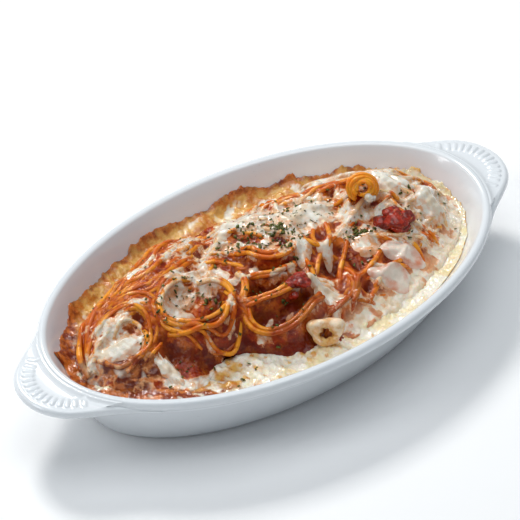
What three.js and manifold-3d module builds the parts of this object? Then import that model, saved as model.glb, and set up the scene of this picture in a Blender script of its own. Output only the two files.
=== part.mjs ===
// Baked pasta: spaghetti in tomato sauce under melted cheese, with the oval gratin dish that it was
// baked in. The dish has a round lip and a beaded lug handle at each end.
// Millimetres, +Z up. +X runs along the dish to one handle and +Y to the side where the pasta lies
// deeper against the wall. The origin is on the table, under the middle of the dish.

import * as THREE from 'three'
import Module from 'manifold-3d'

const wasm = await Module()
wasm.setup()

// The dish. Half length and half width are over the lip, without the handles.
const HALF_LENGTH = 112
const HALF_WIDTH = 66.6
const RIM_HEIGHT = 36
const LIP_RADIUS = 2.4
const LIP_OVERHANG = 2
const WALL_LEAN = 0.59 // run outwards for each millimetre of rise
const WALL_THICK = 4.9 // measured level
const FLOOR_THICK = 4.5
const FLOOR_FILLET = 10
const FOOT_FILLET = 3
const FOOT_WIDTH = 5
const FOOT_RECESS = 1.2
const LIP_FOOT = RIM_HEIGHT - 2 * LIP_RADIUS
const AROUND = 60 // facets round the dish and the filling

// The handles: the outline is a circle near each end of the oval, joined to it by straight sides.
const HANDLE_CIRCLE_X = 104.7
const HANDLE_CIRCLE_RADIUS = 24
const HANDLE_TOP = 33.8
const HANDLE_THICK = 4
const HANDLE_ROOT = 3 // how far the root reaches into the lip
const BEADS = 15
const BEAD_PITCH = 3.9
const BEAD_INSET = 6
const BEAD_LENGTH = 5.4
const BEAD_WIDTH = 2.5
const BEAD_HEIGHT = 0.7

// The filling: melted cheese and sauce up to a level, with the noodles heaped on it.
const GAP = 0.35
const BED_LEVEL = 24
const HEAP_LEFT = 95 // reach of the heap towards -X
const HEAP_RIGHT = 99.5
const HEAP_FAR = 46
const HEAP_NEAR = 45
const HEAP_RISE = 20
const HEAP_ROOT = 3 // how far the heap is drawn below the bed before the bed is cut from it

const { sin, cos, abs, hypot, exp, max, min, PI } = Math

const porcelain = new THREE.MeshStandardMaterial({ color: 0xeceef1, roughness: 0.18, metalness: 0 })
const gratin = new THREE.MeshStandardMaterial({ color: 0xe2c58c, roughness: 0.4, metalness: 0 })
const noodle = new THREE.MeshStandardMaterial({ color: 0xcf6f22, roughness: 0.35, metalness: 0 })
const cheese = new THREE.MeshStandardMaterial({ color: 0xeadfc9, roughness: 0.35, metalness: 0 })
const ham = new THREE.MeshStandardMaterial({ color: 0xdcb09a, roughness: 0.35, metalness: 0 })
const tomato = new THREE.MeshStandardMaterial({ color: 0xa62a14, roughness: 0.25, metalness: 0 })

/** Closed geometry over rings of equal length, with a fan to a pole at each end. */
function skin(rings, firstPole = middle(rings[0]), lastPole = middle(rings.at(-1))) {
  const size = rings[0].length
  const points = [...rings.flat(), firstPole, lastPole]
  const first = points.length - 2
  const index = []
  for (let i = 0; i < rings.length; i++) {
    for (let j = 0; j < size; j++) {
      const here = i * size + j
      const beside = i * size + (j + 1) % size
      if (i === 0) index.push(first, beside, here)
      if (i === rings.length - 1) index.push(first + 1, here, beside)
      else index.push(here, beside, beside + size, here, beside + size, here + size)
    }
  }
  const geometry = new THREE.BufferGeometry().setFromPoints(points)
  geometry.setIndex(facingOut(points, index))
  return geometry
}

/** The middle of a ring of points. */
function middle(ring) {
  return ring.reduce((sum, p) => sum.add(p), new THREE.Vector3()).divideScalar(ring.length)
}

/** The triangle list, turned round where its signed volume is negative. */
function facingOut(points, index) {
  let volume = 0
  for (let i = 0; i < index.length; i += 3) {
    const [a, b, c] = [points[index[i]], points[index[i + 1]], points[index[i + 2]]]
    volume += a.dot(new THREE.Vector3().crossVectors(b, c))
  }
  return volume < 0 ? index.reverse() : index
}

/** A solid that can be added to and cut, from an indexed geometry. */
function toSolid(geometry) {
  const mesh = new wasm.Mesh({
    numProp: 3,
    vertProperties: Float32Array.from(geometry.attributes.position.array),
    triVerts: Uint32Array.from(geometry.index.array),
  })
  return new wasm.Manifold(mesh)
}

/** The largest body of a solid, without the slivers that a cut can leave. */
function largest(solid) {
  return solid.decompose().sort((a, b) => b.volume() - a.volume())[0]
}

/** A named mesh of a solid. */
function toMesh(name, solid, material) {
  const source = solid.getMesh()
  const geometry = new THREE.BufferGeometry()
  geometry.setAttribute('position', new THREE.Float32BufferAttribute(source.vertProperties, 3))
  geometry.setIndex(Array.from(source.triVerts))
  geometry.computeVertexNormals()
  const mesh = new THREE.Mesh(geometry, material)
  mesh.name = name
  return mesh
}

/** A ring of the dish's oval, drawn in by an inset, at the heights that a function gives. */
function ovalRing(inset, height) {
  return Array.from({ length: AROUND }, (_, i) => {
    const angle = i / AROUND * 2 * PI
    const x = (HALF_LENGTH - inset) * cos(angle)
    const y = (HALF_WIDTH - inset) * sin(angle)
    return new THREE.Vector3(x, y, typeof height === 'number' ? height : height(angle))
  })
}

/** Points [inset, z] of an arc that rounds the corner between a level floor and the leaning wall. */
function cornerArc(inset, z, radius, steps) {
  const slope = Math.atan2(1, WALL_LEAN)
  const tangent = radius * Math.tan(slope / 2)
  return Array.from({ length: steps + 1 }, (_, i) => {
    const turn = slope * i / steps
    return [inset + tangent - radius * sin(turn), z + radius - radius * cos(turn)]
  })
}

/** Inset of the wall's outer face at a height. */
function outerInset(z) {
  return LIP_OVERHANG + (LIP_FOOT - z) * WALL_LEAN
}

/** Inset of the wall's inner face at a height. */
function innerInset(z) {
  return outerInset(z) + WALL_THICK
}

/** Dish: one closed profile from the recess under the foot, round the lip, to the floor inside. */
function dishBody() {
  const foot = cornerArc(outerInset(0), 0, FOOT_FILLET, 3)
  const footInside = foot[0][0] + FOOT_WIDTH
  const lipZ = RIM_HEIGHT - LIP_RADIUS
  const lip = [-90, -50, -10, 25, 60, 90, 120, 148].map((degrees) => {
    const turn = degrees * PI / 180
    return [LIP_RADIUS - LIP_RADIUS * cos(turn), lipZ + LIP_RADIUS * sin(turn)]
  })
  const inside = cornerArc(innerInset(FLOOR_THICK), FLOOR_THICK, FLOOR_FILLET, 4).reverse()
  const profile = [
    [footInside + FOOT_RECESS, FOOT_RECESS],
    [footInside, 0],
    ...foot,
    ...lip,
    [innerInset(lipZ - 1), lipZ - 1],
    ...inside,
  ]
  return toSolid(skin(profile.map(([inset, z]) => ovalRing(inset, z))))
}

/** The direction where a handle's straight side touches both the dish's oval and the circle. */
function touchDirection() {
  let low = 0
  let high = PI / 2
  for (let i = 0; i < 40; i++) {
    const turn = (low + high) / 2
    const oval = hypot(HALF_LENGTH * cos(turn), HALF_WIDTH * sin(turn))
    const circle = HANDLE_CIRCLE_X * cos(turn) + HANDLE_CIRCLE_RADIUS
    if (circle > oval) low = turn
    else high = turn
  }
  return low
}

const TOUCH = touchDirection()
const TOUCH_REACH = hypot(HALF_LENGTH * cos(TOUCH), HALF_WIDTH * sin(TOUCH))
const TOUCH_X = HALF_LENGTH ** 2 * cos(TOUCH) / TOUCH_REACH
const TOUCH_Y = HALF_WIDTH ** 2 * sin(TOUCH) / TOUCH_REACH

/**
 * A handle's outline by arc length from its tip, positive towards +Y: {x, y, turn}, where turn is
 * the direction that the outline faces. Past the circle it runs along the straight side.
 */
function handleOutline(length) {
  const side = Math.sign(length)
  const onCircle = min(abs(length) / HANDLE_CIRCLE_RADIUS, TOUCH)
  const onSide = abs(length) - onCircle * HANDLE_CIRCLE_RADIUS
  return {
    x: HANDLE_CIRCLE_X + HANDLE_CIRCLE_RADIUS * cos(onCircle) - onSide * sin(onCircle),
    y: side * (HANDLE_CIRCLE_RADIUS * sin(onCircle) + onSide * cos(onCircle)),
    turn: side * onCircle,
  }
}

/** Handle plate: sections from the root in the lip to a rounded edge, swept along the outline. */
function handlePlate() {
  const circleEnd = handleOutline(TOUCH * HANDLE_CIRCLE_RADIUS)
  const sideLength = hypot(TOUCH_X - circleEnd.x, TOUCH_Y - circleEnd.y)
  const reach = TOUCH * HANDLE_CIRCLE_RADIUS + sideLength - 2 * HANDLE_ROOT
  const rootAngle = Math.atan2(TOUCH_Y / HALF_WIDTH, TOUCH_X / HALF_LENGTH)
  const stations = 18
  const rings = []
  for (let i = 0; i <= stations; i++) {
    const along = 2 * i / stations - 1
    const { x, y, turn } = handleOutline(along * reach)
    const half = HANDLE_THICK / 2 * min(1, 0.3 + 2 * (1 - abs(along)))
    const height = HANDLE_TOP - HANDLE_THICK / 2 - 0.2 * max(0, 4 * abs(along) - 3)
    const root = new THREE.Vector3(
      (HALF_LENGTH - HANDLE_ROOT) * cos(along * rootAngle),
      (HALF_WIDTH - HANDLE_ROOT) * sin(along * rootAngle),
      height,
    )
    const edge = [90, 45, 0, -45, -90].map((degrees) => {
      const round = degrees * PI / 180
      const out = half * (cos(round) - 1)
      return new THREE.Vector3(x + out * cos(turn), y + out * sin(turn), height + half * sin(round))
    })
    const over = root.clone().setZ(height + half)
    const under = root.clone().setZ(height - half)
    rings.push([over, ...edge, under])
  }
  return toSolid(skin(rings))
}

/** One raised bead on a handle: a low dome, long across the border. */
function handleBead(length) {
  const { x, y, turn } = handleOutline(length)
  const place = new THREE.Matrix4().makeRotationZ(turn)
  place.setPosition(x - BEAD_INSET * cos(turn), y - BEAD_INSET * sin(turn), HANDLE_TOP)
  const ring = (size, z) => Array.from({ length: 8 }, (_, i) => {
    const angle = i / 8 * 2 * PI
    const out = BEAD_LENGTH / 2 * size * cos(angle)
    return new THREE.Vector3(out, BEAD_WIDTH / 2 * size * sin(angle), z).applyMatrix4(place)
  })
  const crown = new THREE.Vector3(0, 0, BEAD_HEIGHT).applyMatrix4(place)
  const foot = ring(1.05, -0.4)
  return toSolid(skin([foot, ring(0.75, 0.6 * BEAD_HEIGHT)], middle(foot), crown))
}

/** The dish with both handles and their beads. */
function dish() {
  let handle = handlePlate()
  for (let i = 0; i < BEADS; i++) {
    handle = handle.add(handleBead((i - (BEADS - 1) / 2) * BEAD_PITCH))
  }
  return dishBody().add(handle).add(handle.rotate([0, 0, 180]))
}

/** Height of the melted filling: rippled, and baked a little way up the wall. */
function bedTop(x, y) {
  const out = hypot(x / (HALF_LENGTH - 11), y / (HALF_WIDTH - 10.5))
  const angle = Math.atan2(y, x)
  const ripple = 0.6 * sin(x / 9 + 1.3) * cos(y / 8)
  const climb = 1.6 + 0.8 * cos(angle - 2) + 0.5 * sin(5 * angle) + 0.4 * sin(11 * angle + 1)
  return BED_LEVEL + ripple + climb * max(0, (out - 0.88) / 0.12) ** 2
}

/** Filling: melted cheese and sauce from the floor up to bedTop, clear of the dish by GAP. */
function gratinBed() {
  const slope = Math.atan2(1, WALL_LEAN)
  const clear = GAP / sin(slope)
  const floor = FLOOR_THICK + GAP
  const profile = cornerArc(innerInset(floor) + clear, floor, FLOOR_FILLET - GAP, 4)
  const wallInset = innerInset(BED_LEVEL + 1.6) + clear
  const edge = ovalRing(wallInset, 0).map((p) => {
    const z = bedTop(p.x, p.y)
    const angle = Math.atan2(p.y / (HALF_WIDTH - wallInset), p.x / (HALF_LENGTH - wallInset))
    const inset = innerInset(z) + clear
    return new THREE.Vector3((HALF_LENGTH - inset) * cos(angle), (HALF_WIDTH - inset) * sin(angle), z)
  })
  const surface = [0.93, 0.82, 0.66, 0.48, 0.25].map(share => edge.map((p) => {
    const x = p.x * share
    const y = p.y * share
    return new THREE.Vector3(x, y, bedTop(x, y))
  }))
  const rings = [...profile.map(([inset, z]) => ovalRing(inset, z)), edge, ...surface]
  const crown = new THREE.Vector3(0, 0, bedTop(0, 0))
  return toSolid(skin(rings, new THREE.Vector3(0, 0, floor), crown))
}

/** How far along its half the heap is at x: 0 in the middle, 1 at its tip. */
function heapShare(x) {
  return abs(x) / (x < 0 ? HEAP_LEFT : HEAP_RIGHT)
}

/** The heap's two feet across the dish at x. The near foot is drawn in beside the two nests. */
function heapFeet(x) {
  const taper = max(0, 1 - heapShare(x) ** 2)
  const near = HEAP_NEAR * taper ** (x < 0 ? 0.8 : 0.5) - 24 * exp(-(((x + 44) / 20) ** 2)) * taper
  return { near: -near, far: HEAP_FAR * taper ** 0.55 }
}

// Lumps of the heap: two coiled nests, the loops in front, the high middle, and the dips between.
const LUMPS = [
  { x: -77, y: 2, spread: 12, rise: 2.5 },
  { x: -60, y: -6, spread: 7, rise: -3.5 },
  { x: -42, y: -3, spread: 14, rise: 3 },
  { x: -22, y: -16, spread: 8, rise: -3 },
  { x: -6, y: -24, spread: 13, rise: 2 },
  { x: 10, y: 14, spread: 22, rise: 2.5 },
  { x: 24, y: -18, spread: 7, rise: -2.5 },
  { x: 56, y: 8, spread: 15, rise: 2 },
]

/** Height of the heap of noodles, or of the filling beyond its feet. */
function heapTop(x, y) {
  const bed = bedTop(x, y)
  const { near, far } = heapFeet(x)
  if (heapShare(x) >= 1 || y <= near || y >= far) return bed
  const across = (2 * y - near - far) / (far - near)
  const dome = (1 - abs(across) ** 2.6) ** 0.6
  const along = (1 - heapShare(x) ** (x < 0 ? 3.5 : 5)) ** 0.5
  let rise = HEAP_RISE * along
  for (const lump of LUMPS) {
    rise += lump.rise * exp(-(((x - lump.x) / lump.spread) ** 2) - ((y - lump.y) / lump.spread) ** 2)
  }
  return BED_LEVEL + dome * rise
}

/** Heap of noodles, swollen all over by a margin: cross-sections from foot to foot, rooted in the bed. */
function heapShape(swell) {
  const stations = 26
  const steps = 13
  const root = BED_LEVEL - HEAP_ROOT
  const rings = []
  for (let i = 1; i < stations; i++) {
    const x = (HEAP_RIGHT - HEAP_LEFT) / 2 - (HEAP_RIGHT + HEAP_LEFT) / 2 * cos(i / stations * PI)
    const { near, far } = heapFeet(x)
    const over = Array.from({ length: steps + 1 }, (_, j) => {
      const side = -cos(j / steps * PI)
      const y = (near + far) / 2 + (far - near) / 2 * side
      const foot = j === 0 || j === steps
      return new THREE.Vector3(x, y + swell * side, (foot ? BED_LEVEL : heapTop(x, y)) + swell)
    })
    const { y: nearY } = over[0]
    const { y: farY } = over[steps]
    rings.push([...over, new THREE.Vector3(x, farY, root), new THREE.Vector3(x, nearY, root)])
  }
  return toSolid(skin(rings))
}

/**
 * A patch of melted cheese draped over the heap: a lobed oval turned about +Z, with its top at a
 * thickness above the heap. The ground, which is what it lies on and a gap, is cut from it.
 */
function drape({ x, y, along, across, turn, thick, lobes = 3, uneven = 0.12 }, ground) {
  const ring = (size, lift) => Array.from({ length: 12 }, (_, i) => {
    const angle = i / 12 * 2 * PI
    const reach = size * (1 + uneven * sin(lobes * angle + x))
    const a = along * reach * cos(angle)
    const b = across * reach * sin(angle)
    const px = x + a * cos(turn) - b * sin(turn)
    const py = y + a * sin(turn) + b * cos(turn)
    return new THREE.Vector3(px, py, heapTop(px, py) + lift)
  })
  const root = ring(1, -3)
  const rings = [root, ring(1, 0.6 * thick), ring(0.72, thick), ring(0.36, 1.1 * thick)]
  const crown = new THREE.Vector3(x, y, heapTop(x, y) + 1.15 * thick)
  const solid = toSolid(skin(rings, middle(root), crown))
  return largest(solid.subtract(ground))
}

/** A lump of cooked tomato, half sunk in the heap: an uneven egg with flattened sides. */
function chunk({ x, y, along, across, high, turn }, ground) {
  const base = heapTop(x, y) + 0.2 * high
  const point = (latitude, angle) => {
    const uneven = 1 + 0.1 * sin(3 * angle + x) + 0.06 * cos(5 * angle)
    const a = along * cos(latitude) * cos(angle) * uneven
    const b = across * cos(latitude) * sin(angle) * uneven
    const z = base + high * sin(latitude)
    return new THREE.Vector3(x + a * cos(turn) - b * sin(turn), y + a * sin(turn) + b * cos(turn), z)
  }
  const rings = [-55, -15, 25, 60].map((degrees) => {
    return Array.from({ length: 10 }, (_, i) => point(degrees * PI / 180, i / 10 * 2 * PI))
  })
  return largest(toSolid(skin(rings, point(-PI / 2, 0), point(PI / 2, 0))).subtract(ground))
}

/**
 * A ring of pasta that stands on the heap: a round section swept round a circle whose axis leans.
 * yaw turns the axis about +Z from +X, and pitch lifts it.
 */
function standingRing({ x, y, z, radius, tube, squash = 1, yaw, pitch }, ground) {
  const place = new THREE.Matrix4().makeRotationFromEuler(new THREE.Euler(0, -pitch, yaw, 'ZYX'))
  place.setPosition(x, y, z)
  const around = 14
  const section = 8
  const points = []
  for (let i = 0; i < around; i++) {
    for (let j = 0; j < section; j++) {
      const turn = i / around * 2 * PI
      const round = j / section * 2 * PI
      const out = radius + tube * cos(round)
      const across = tube * squash * sin(round)
      points.push(new THREE.Vector3(across, out * cos(turn), out * sin(turn)).applyMatrix4(place))
    }
  }
  const index = []
  for (let i = 0; i < around; i++) {
    for (let j = 0; j < section; j++) {
      const [here, beside] = [i * section + j, i * section + (j + 1) % section]
      const [next, across] = [here, beside].map(k => (k + section) % points.length)
      index.push(here, beside, across, here, across, next)
    }
  }
  const geometry = new THREE.BufferGeometry().setFromPoints(points)
  geometry.setIndex(facingOut(points, index))
  return largest(toSolid(geometry).subtract(ground))
}

const CHEESE_PATCHES = {
  cheese_left: { x: -79, y: 0, along: 11, across: 8.5, turn: -0.69, thick: 2.4 },
  cheese_tongue: { x: -68, y: -18, along: 7, across: 3.4, turn: -1.5, thick: 1.8 },
  cheese_nest: { x: -51, y: -2, along: 8, across: 6.5, turn: -0.4, thick: 1.8 },
  cheese_crest: { x: 4, y: 28, along: 18, across: 5.5, turn: 0.25, thick: 1.8, lobes: 4 },
  cheese_middle: { x: 29, y: 12, along: 16, across: 8.5, turn: -0.4, thick: 2.2, lobes: 5 },
  cheese_drip_left: { x: 13.5, y: -6, along: 8, across: 3.2, turn: 0.94, thick: 1.8 },
  cheese_drip_right: { x: 22, y: -10.5, along: 7.5, across: 3, turn: 0.94, thick: 2.2 },
  cheese_front: { x: 8, y: -26.5, along: 9, across: 4.2, turn: -1.29, thick: 2 },
  cheese_hollow: { x: 39.5, y: -17, along: 7, across: 5.5, turn: -0.69, thick: 2.4 },
  cheese_far: { x: 71, y: 5, along: 10, across: 5.5, turn: -1.1, thick: 2 },
  cheese_right: { x: 81, y: -11, along: 11.5, across: 6.5, turn: 1.05, thick: 2.6 },
}

const HAM_SLICES = {
  ham_side: { x: 52, y: -27, along: 9, across: 5, turn: -0.69, thick: 1.8 },
  ham_front: { x: 40, y: -33.5, along: 9, across: 4.6, turn: -0.69, thick: 1.8 },
}

const TOMATO_CHUNKS = {
  tomato_front: { x: -3, y: -23.5, along: 5, across: 4, high: 3.2, turn: -0.69 },
  tomato_right: { x: 58.5, y: -13.5, along: 6.5, across: 5, high: 3.4, turn: -0.69 },
}

const group = new THREE.Group()
const bed = gratinBed()
const bedAndGap = bed.translate([0, 0, GAP])
const heap = largest(heapShape(0).subtract(bedAndGap))
const ground = heapShape(GAP).add(bedAndGap)
group.add(toMesh('dish', dish(), porcelain))
group.add(toMesh('gratin_bed', bed, gratin))
group.add(toMesh('noodle_heap', heap, noodle))
for (const [name, patch] of Object.entries(CHEESE_PATCHES)) {
  group.add(toMesh(name, drape(patch, ground), cheese))
}
for (const [name, slice] of Object.entries(HAM_SLICES)) {
  group.add(toMesh(name, drape(slice, ground), ham))
}
for (const [name, lump] of Object.entries(TOMATO_CHUNKS)) {
  group.add(toMesh(name, chunk(lump, ground), tomato))
}

// A noodle rolled into a tight curl on the top, and a cheese-coated loop at the near edge.
const curl = { x: 54, y: 2, z: 48.5, radius: 4, tube: 2.7, squash: 1.5, yaw: -2.2, pitch: 0.6 }
const loop = { x: -5, y: -43, z: 29.5, radius: 5.4, tube: 2.6, squash: 1.2, yaw: -2.2, pitch: 0.5 }
group.add(toMesh('noodle_curl', standingRing(curl, ground), noodle))
group.add(toMesh('cheese_loop', standingRing(loop, ground), cheese))

export default group
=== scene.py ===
from math import cos, hypot, pi, radians, sin

import bpy
import numpy as np
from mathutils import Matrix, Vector


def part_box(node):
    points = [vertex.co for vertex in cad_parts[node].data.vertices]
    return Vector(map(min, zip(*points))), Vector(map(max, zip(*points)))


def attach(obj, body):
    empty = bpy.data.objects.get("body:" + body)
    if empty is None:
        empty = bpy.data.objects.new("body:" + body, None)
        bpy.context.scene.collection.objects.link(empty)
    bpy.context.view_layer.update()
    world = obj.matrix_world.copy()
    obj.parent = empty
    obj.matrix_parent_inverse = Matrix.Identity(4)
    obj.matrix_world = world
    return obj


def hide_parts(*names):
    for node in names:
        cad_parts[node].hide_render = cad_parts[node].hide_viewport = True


# Baked spaghetti in tomato sauce under melted cheese, in the oval gratin dish it was baked in.
# Lengths are in millimetres until a mesh is made; +X runs along the dish and +Z is up.
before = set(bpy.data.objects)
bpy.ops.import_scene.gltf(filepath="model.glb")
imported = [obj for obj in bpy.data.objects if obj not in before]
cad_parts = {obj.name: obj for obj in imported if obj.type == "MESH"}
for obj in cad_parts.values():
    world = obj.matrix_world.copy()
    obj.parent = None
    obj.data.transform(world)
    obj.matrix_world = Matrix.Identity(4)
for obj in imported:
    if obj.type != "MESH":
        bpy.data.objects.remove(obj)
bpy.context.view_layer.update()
MM = 0.001


# Camera, daylight and floor. A long lens looks down on the near side of the dish; the light is a
# large soft window behind it, with a paler one from the front and a white room all round.
_, dish_high = (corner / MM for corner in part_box("dish"))
rim_height = dish_high.z
azimuth, elevation, distance = radians(-39.8), radians(39.5), 1780
to_camera = Vector((sin(azimuth) * cos(elevation), -cos(azimuth) * cos(elevation), sin(elevation)))
camera_data = bpy.data.cameras.new("camera")
camera_data.lens = 292.4
camera_data.sensor_width = 36
camera_data.shift_x = -0.0156
camera_data.shift_y = 0.0125
camera_data.clip_end = 20
camera = bpy.data.objects.new("camera", camera_data)
camera.location = (Vector((0, 0, rim_height)) + to_camera * distance) * MM
camera.rotation_euler = to_camera.to_track_quat("Z", "Y").to_euler()
bpy.context.scene.collection.objects.link(camera)
bpy.context.scene.camera = camera
bpy.context.scene.view_settings.view_transform = "Standard"


def window_light(name, place, size, power, tint):
    """Area light at a place in metres that faces the middle of the dish."""
    light = bpy.data.lights.new(name, "AREA")
    light.size = size
    light.energy = power
    light.color = tint
    lamp = bpy.data.objects.new(name, light)
    lamp.location = place
    lamp.rotation_euler = Vector(place).to_track_quat("Z", "Y").to_euler()
    bpy.context.scene.collection.objects.link(lamp)


window_light("window", (0.25, 1.15, 1.35), 0.4, 18, (1.0, 0.99, 0.97))
window_light("side window", (-1.5, 0.5, 1.1), 0.5, 7, (0.97, 0.985, 1.0))
window_light("ceiling", (0.1, -0.05, 1.9), 1.5, 15.5, (0.93, 0.97, 1.0))
room = bpy.data.worlds.new("room")
bpy.context.scene.world = room
room.use_nodes = True
room.node_tree.nodes["Background"].inputs["Color"].default_value = (0.88, 0.94, 1.0, 1)
room.node_tree.nodes["Background"].inputs["Strength"].default_value = 0.22


def make_piece(name, points, quads, triangles=None, material=None, node_slot=None, **amounts):
    """Smooth mesh object from points in millimetres, with a float attribute for each amount."""
    triangles = np.empty((0, 3), int) if triangles is None else triangles
    mesh = bpy.data.meshes.new(name)
    mesh.vertices.add(len(points))
    mesh.vertices.foreach_set("co", (np.asarray(points) * MM).astype(np.float32).ravel())
    corners = np.concatenate([quads.ravel(), triangles.ravel()]).astype(np.int32)
    mesh.loops.add(len(corners))
    mesh.loops.foreach_set("vertex_index", corners)
    mesh.polygons.add(len(quads) + len(triangles))
    starts = np.concatenate([np.arange(len(quads)) * 4,
                             len(quads) * 4 + np.arange(len(triangles)) * 3])
    mesh.polygons.foreach_set("loop_start", starts.astype(np.int32))
    mesh.update(calc_edges=True)
    mesh.validate()
    mesh.shade_smooth()
    for key, amount in amounts.items():
        layer = mesh.attributes.new(key, "FLOAT", "POINT")
        layer.data.foreach_set("value", np.asarray(amount, np.float32).ravel())
    piece = bpy.data.objects.new(name, mesh)
    bpy.context.scene.collection.objects.link(piece)
    if material:
        mesh.materials.append(material)
    if node_slot:
        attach(piece, "root")
    return piece


class Finish:
    """A material under construction: one Principled shader, and nodes that feed it."""

    def __init__(self, name, **constants):
        """Sets constants on the shader's own sockets; patterns are placed by Object coordinates."""
        self.material = bpy.data.materials.new(name)
        self.material.use_nodes = True
        self.tree = self.material.node_tree
        self.shader = self.tree.nodes["Principled BSDF"]
        for socket, value in constants.items():
            self.shader.inputs[socket.replace("_", " ")].default_value = value
        self.place = self.tree.nodes.new("ShaderNodeTexCoord").outputs["Object"]

    def link(self, source, target):
        """Feeds a socket with a number, a colour or another node's output."""
        if isinstance(source, bpy.types.NodeSocket):
            self.tree.links.new(source, target)
        else:
            target.default_value = (*source, 1) if isinstance(source, tuple) else source

    def noise(self, size, detail=3, rough=0.55, warp=0.0):
        """Cloudy noise whose blotches are about size millimetres across."""
        node = self.tree.nodes.new("ShaderNodeTexNoise")
        self.link(self.place, node.inputs["Vector"])
        node.inputs["Scale"].default_value = 1 / (size * MM)
        node.inputs["Detail"].default_value = detail
        node.inputs["Roughness"].default_value = rough
        node.inputs["Distortion"].default_value = warp
        return node.outputs["Fac"]

    def amount(self, name, times=1):
        """A float attribute of the mesh, times a number."""
        node = self.tree.nodes.new("ShaderNodeAttribute")
        node.attribute_name = name
        amount = node.outputs["Fac"]
        return amount if times == 1 else self.math("MULTIPLY", amount, times)

    def step(self, source, low, high, to_low=0.0, to_high=1.0):
        """Smooth step of a value from low to high."""
        node = self.tree.nodes.new("ShaderNodeMapRange")
        node.interpolation_type = "SMOOTHSTEP"
        self.link(source, node.inputs["Value"])
        for socket, value in zip(("From Min", "From Max", "To Min", "To Max"),
                                 (low, high, to_low, to_high)):
            self.link(value, node.inputs[socket])
        return node.outputs["Result"]

    def patches(self, size, detail, low, high, to_low=0.0, to_high=1.0):
        """Noise of a size in millimetres, sharpened by a smooth step into patches."""
        return self.step(self.noise(size, detail), low, high, to_low, to_high)

    def math(self, operation, first, second=0.0):
        """One arithmetic step on two values, held between 0 and 1."""
        node = self.tree.nodes.new("ShaderNodeMath")
        node.operation = operation
        node.use_clamp = True
        self.link(first, node.inputs[0])
        self.link(second, node.inputs[1])
        return node.outputs[0]

    def mix(self, share, first, second):
        """Colour between two colours."""
        node = self.tree.nodes.new("ShaderNodeMix")
        node.data_type = "RGBA"
        self.link(share, node.inputs[0])
        self.link(first, node.inputs[6])
        self.link(second, node.inputs[7])
        return node.outputs[2]

    def blotched(self, size, detail, low, high, first, second):
        """Colour that goes from the first to the second in patches of a size."""
        return self.mix(self.patches(size, detail, low, high), first, second)

    def bump(self, height, depth, under=None):
        """Fine relief of a depth in millimetres, over another relief if there is one."""
        node = self.tree.nodes.new("ShaderNodeBump")
        node.inputs["Strength"].default_value = 1
        node.inputs["Distance"].default_value = depth * MM
        self.link(height, node.inputs["Height"])
        if under:
            self.link(under, node.inputs["Normal"])
        return node.outputs["Normal"]

    def shine(self, size, low, high):
        """Roughness that wanders between two values over patches of a size."""
        return self.patches(size, 3, 0.35, 0.7, low, high)

    def feed(self, **sources):
        """Feeds the shader's own sockets."""
        for socket, source in sources.items():
            self.link(source, self.shader.inputs[socket.replace("_", " ")])
        return self.material


floor_finish = Finish("floor_paint", Roughness=0.7)
floor_finish.feed(Base_Color=floor_finish.mix(floor_finish.noise(60), (0.93, 0.935, 0.94),
                                              (0.95, 0.953, 0.957)))
floor_half, floor_drop = 6000, 0.05
floor_edge = np.array([[-1, -1], [1, -1], [1, 1], [-1, 1]]) * floor_half
floor = make_piece("floor", np.column_stack([floor_edge, np.full(4, -floor_drop)]),
                   np.array([[0, 1, 2, 3]]), material=floor_finish.material)


# Dish: white glazed porcelain, slip cast in one with its handles. One profile is carried round an
# oval, from the recess inside the foot ring, up the leaning wall, over the round lip to the floor.
half_length, half_width = 112, dish_high.y
lip_radius, lip_overhang = 2.4, 2.0
wall_lean, wall_thick, floor_thick = 0.59, 4.9, 4.5
lip_foot = rim_height - 2 * lip_radius
wall_slope = np.arctan2(1, wall_lean)


def outer_inset(z):
    """How far the wall's outer face stands in from the lip at a height."""
    return lip_overhang + (lip_foot - z) * wall_lean


def inner_inset(z):
    """The same for the wall's inner face."""
    return outer_inset(z) + wall_thick


def corner_arc(inset, z, radius, steps):
    """Rows of (inset, z): the arc that touches the level z and the wall line through the inset."""
    turn = np.linspace(0, wall_slope, steps)
    tangent = radius * np.tan(wall_slope / 2)
    return np.column_stack([inset + tangent - radius * np.sin(turn),
                            z + radius - radius * np.cos(turn)])


def oval_grid(profile, around):
    """Points of a profile of (inset, z) rows carried round the dish's oval."""
    angle = np.linspace(0, 2 * pi, around, endpoint=False)
    inset, z = profile[:, :1], profile[:, 1:]
    return np.stack([(half_length - inset) * np.cos(angle), (half_width - inset) * np.sin(angle),
                     z + 0 * angle], -1)


def grid_faces(rows, columns, wrap):
    """Four-cornered faces between rows and columns of a grid of points; wrap joins its two sides."""
    row, column = np.meshgrid(np.arange(rows - 1), np.arange(columns - (not wrap)), indexing="ij")
    beside = (column + 1) % columns
    corners = [row * columns + column, row * columns + beside,
               (row + 1) * columns + beside, (row + 1) * columns + column]
    return np.stack(corners, -1).reshape(-1, 4)


def fan_faces(first, count, pole, outward):
    """Triangles from a ring of points, numbered from first, to a pole."""
    ring = first + np.arange(count)
    beside = first + (np.arange(count) + 1) % count
    pair = (ring, beside) if outward else (beside, ring)
    return np.stack([*pair, np.full(count, pole)], -1)


def capped_faces(rings, spokes, first=0, flip=False):
    """Faces of a closed shell of rings of points, numbered from first: four-cornered ones between
    the rings, and a fan from the outer rings to the two poles that follow; flip turns them round."""
    quads = grid_faces(rings, spokes, True) + first
    pole = first + rings * spokes
    fans = [fan_faces(first, spokes, pole, flip), fan_faces(pole - spokes, spokes, pole + 1, not flip)]
    return quads[:, ::-1] if flip else quads, np.concatenate(fans)


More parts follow.
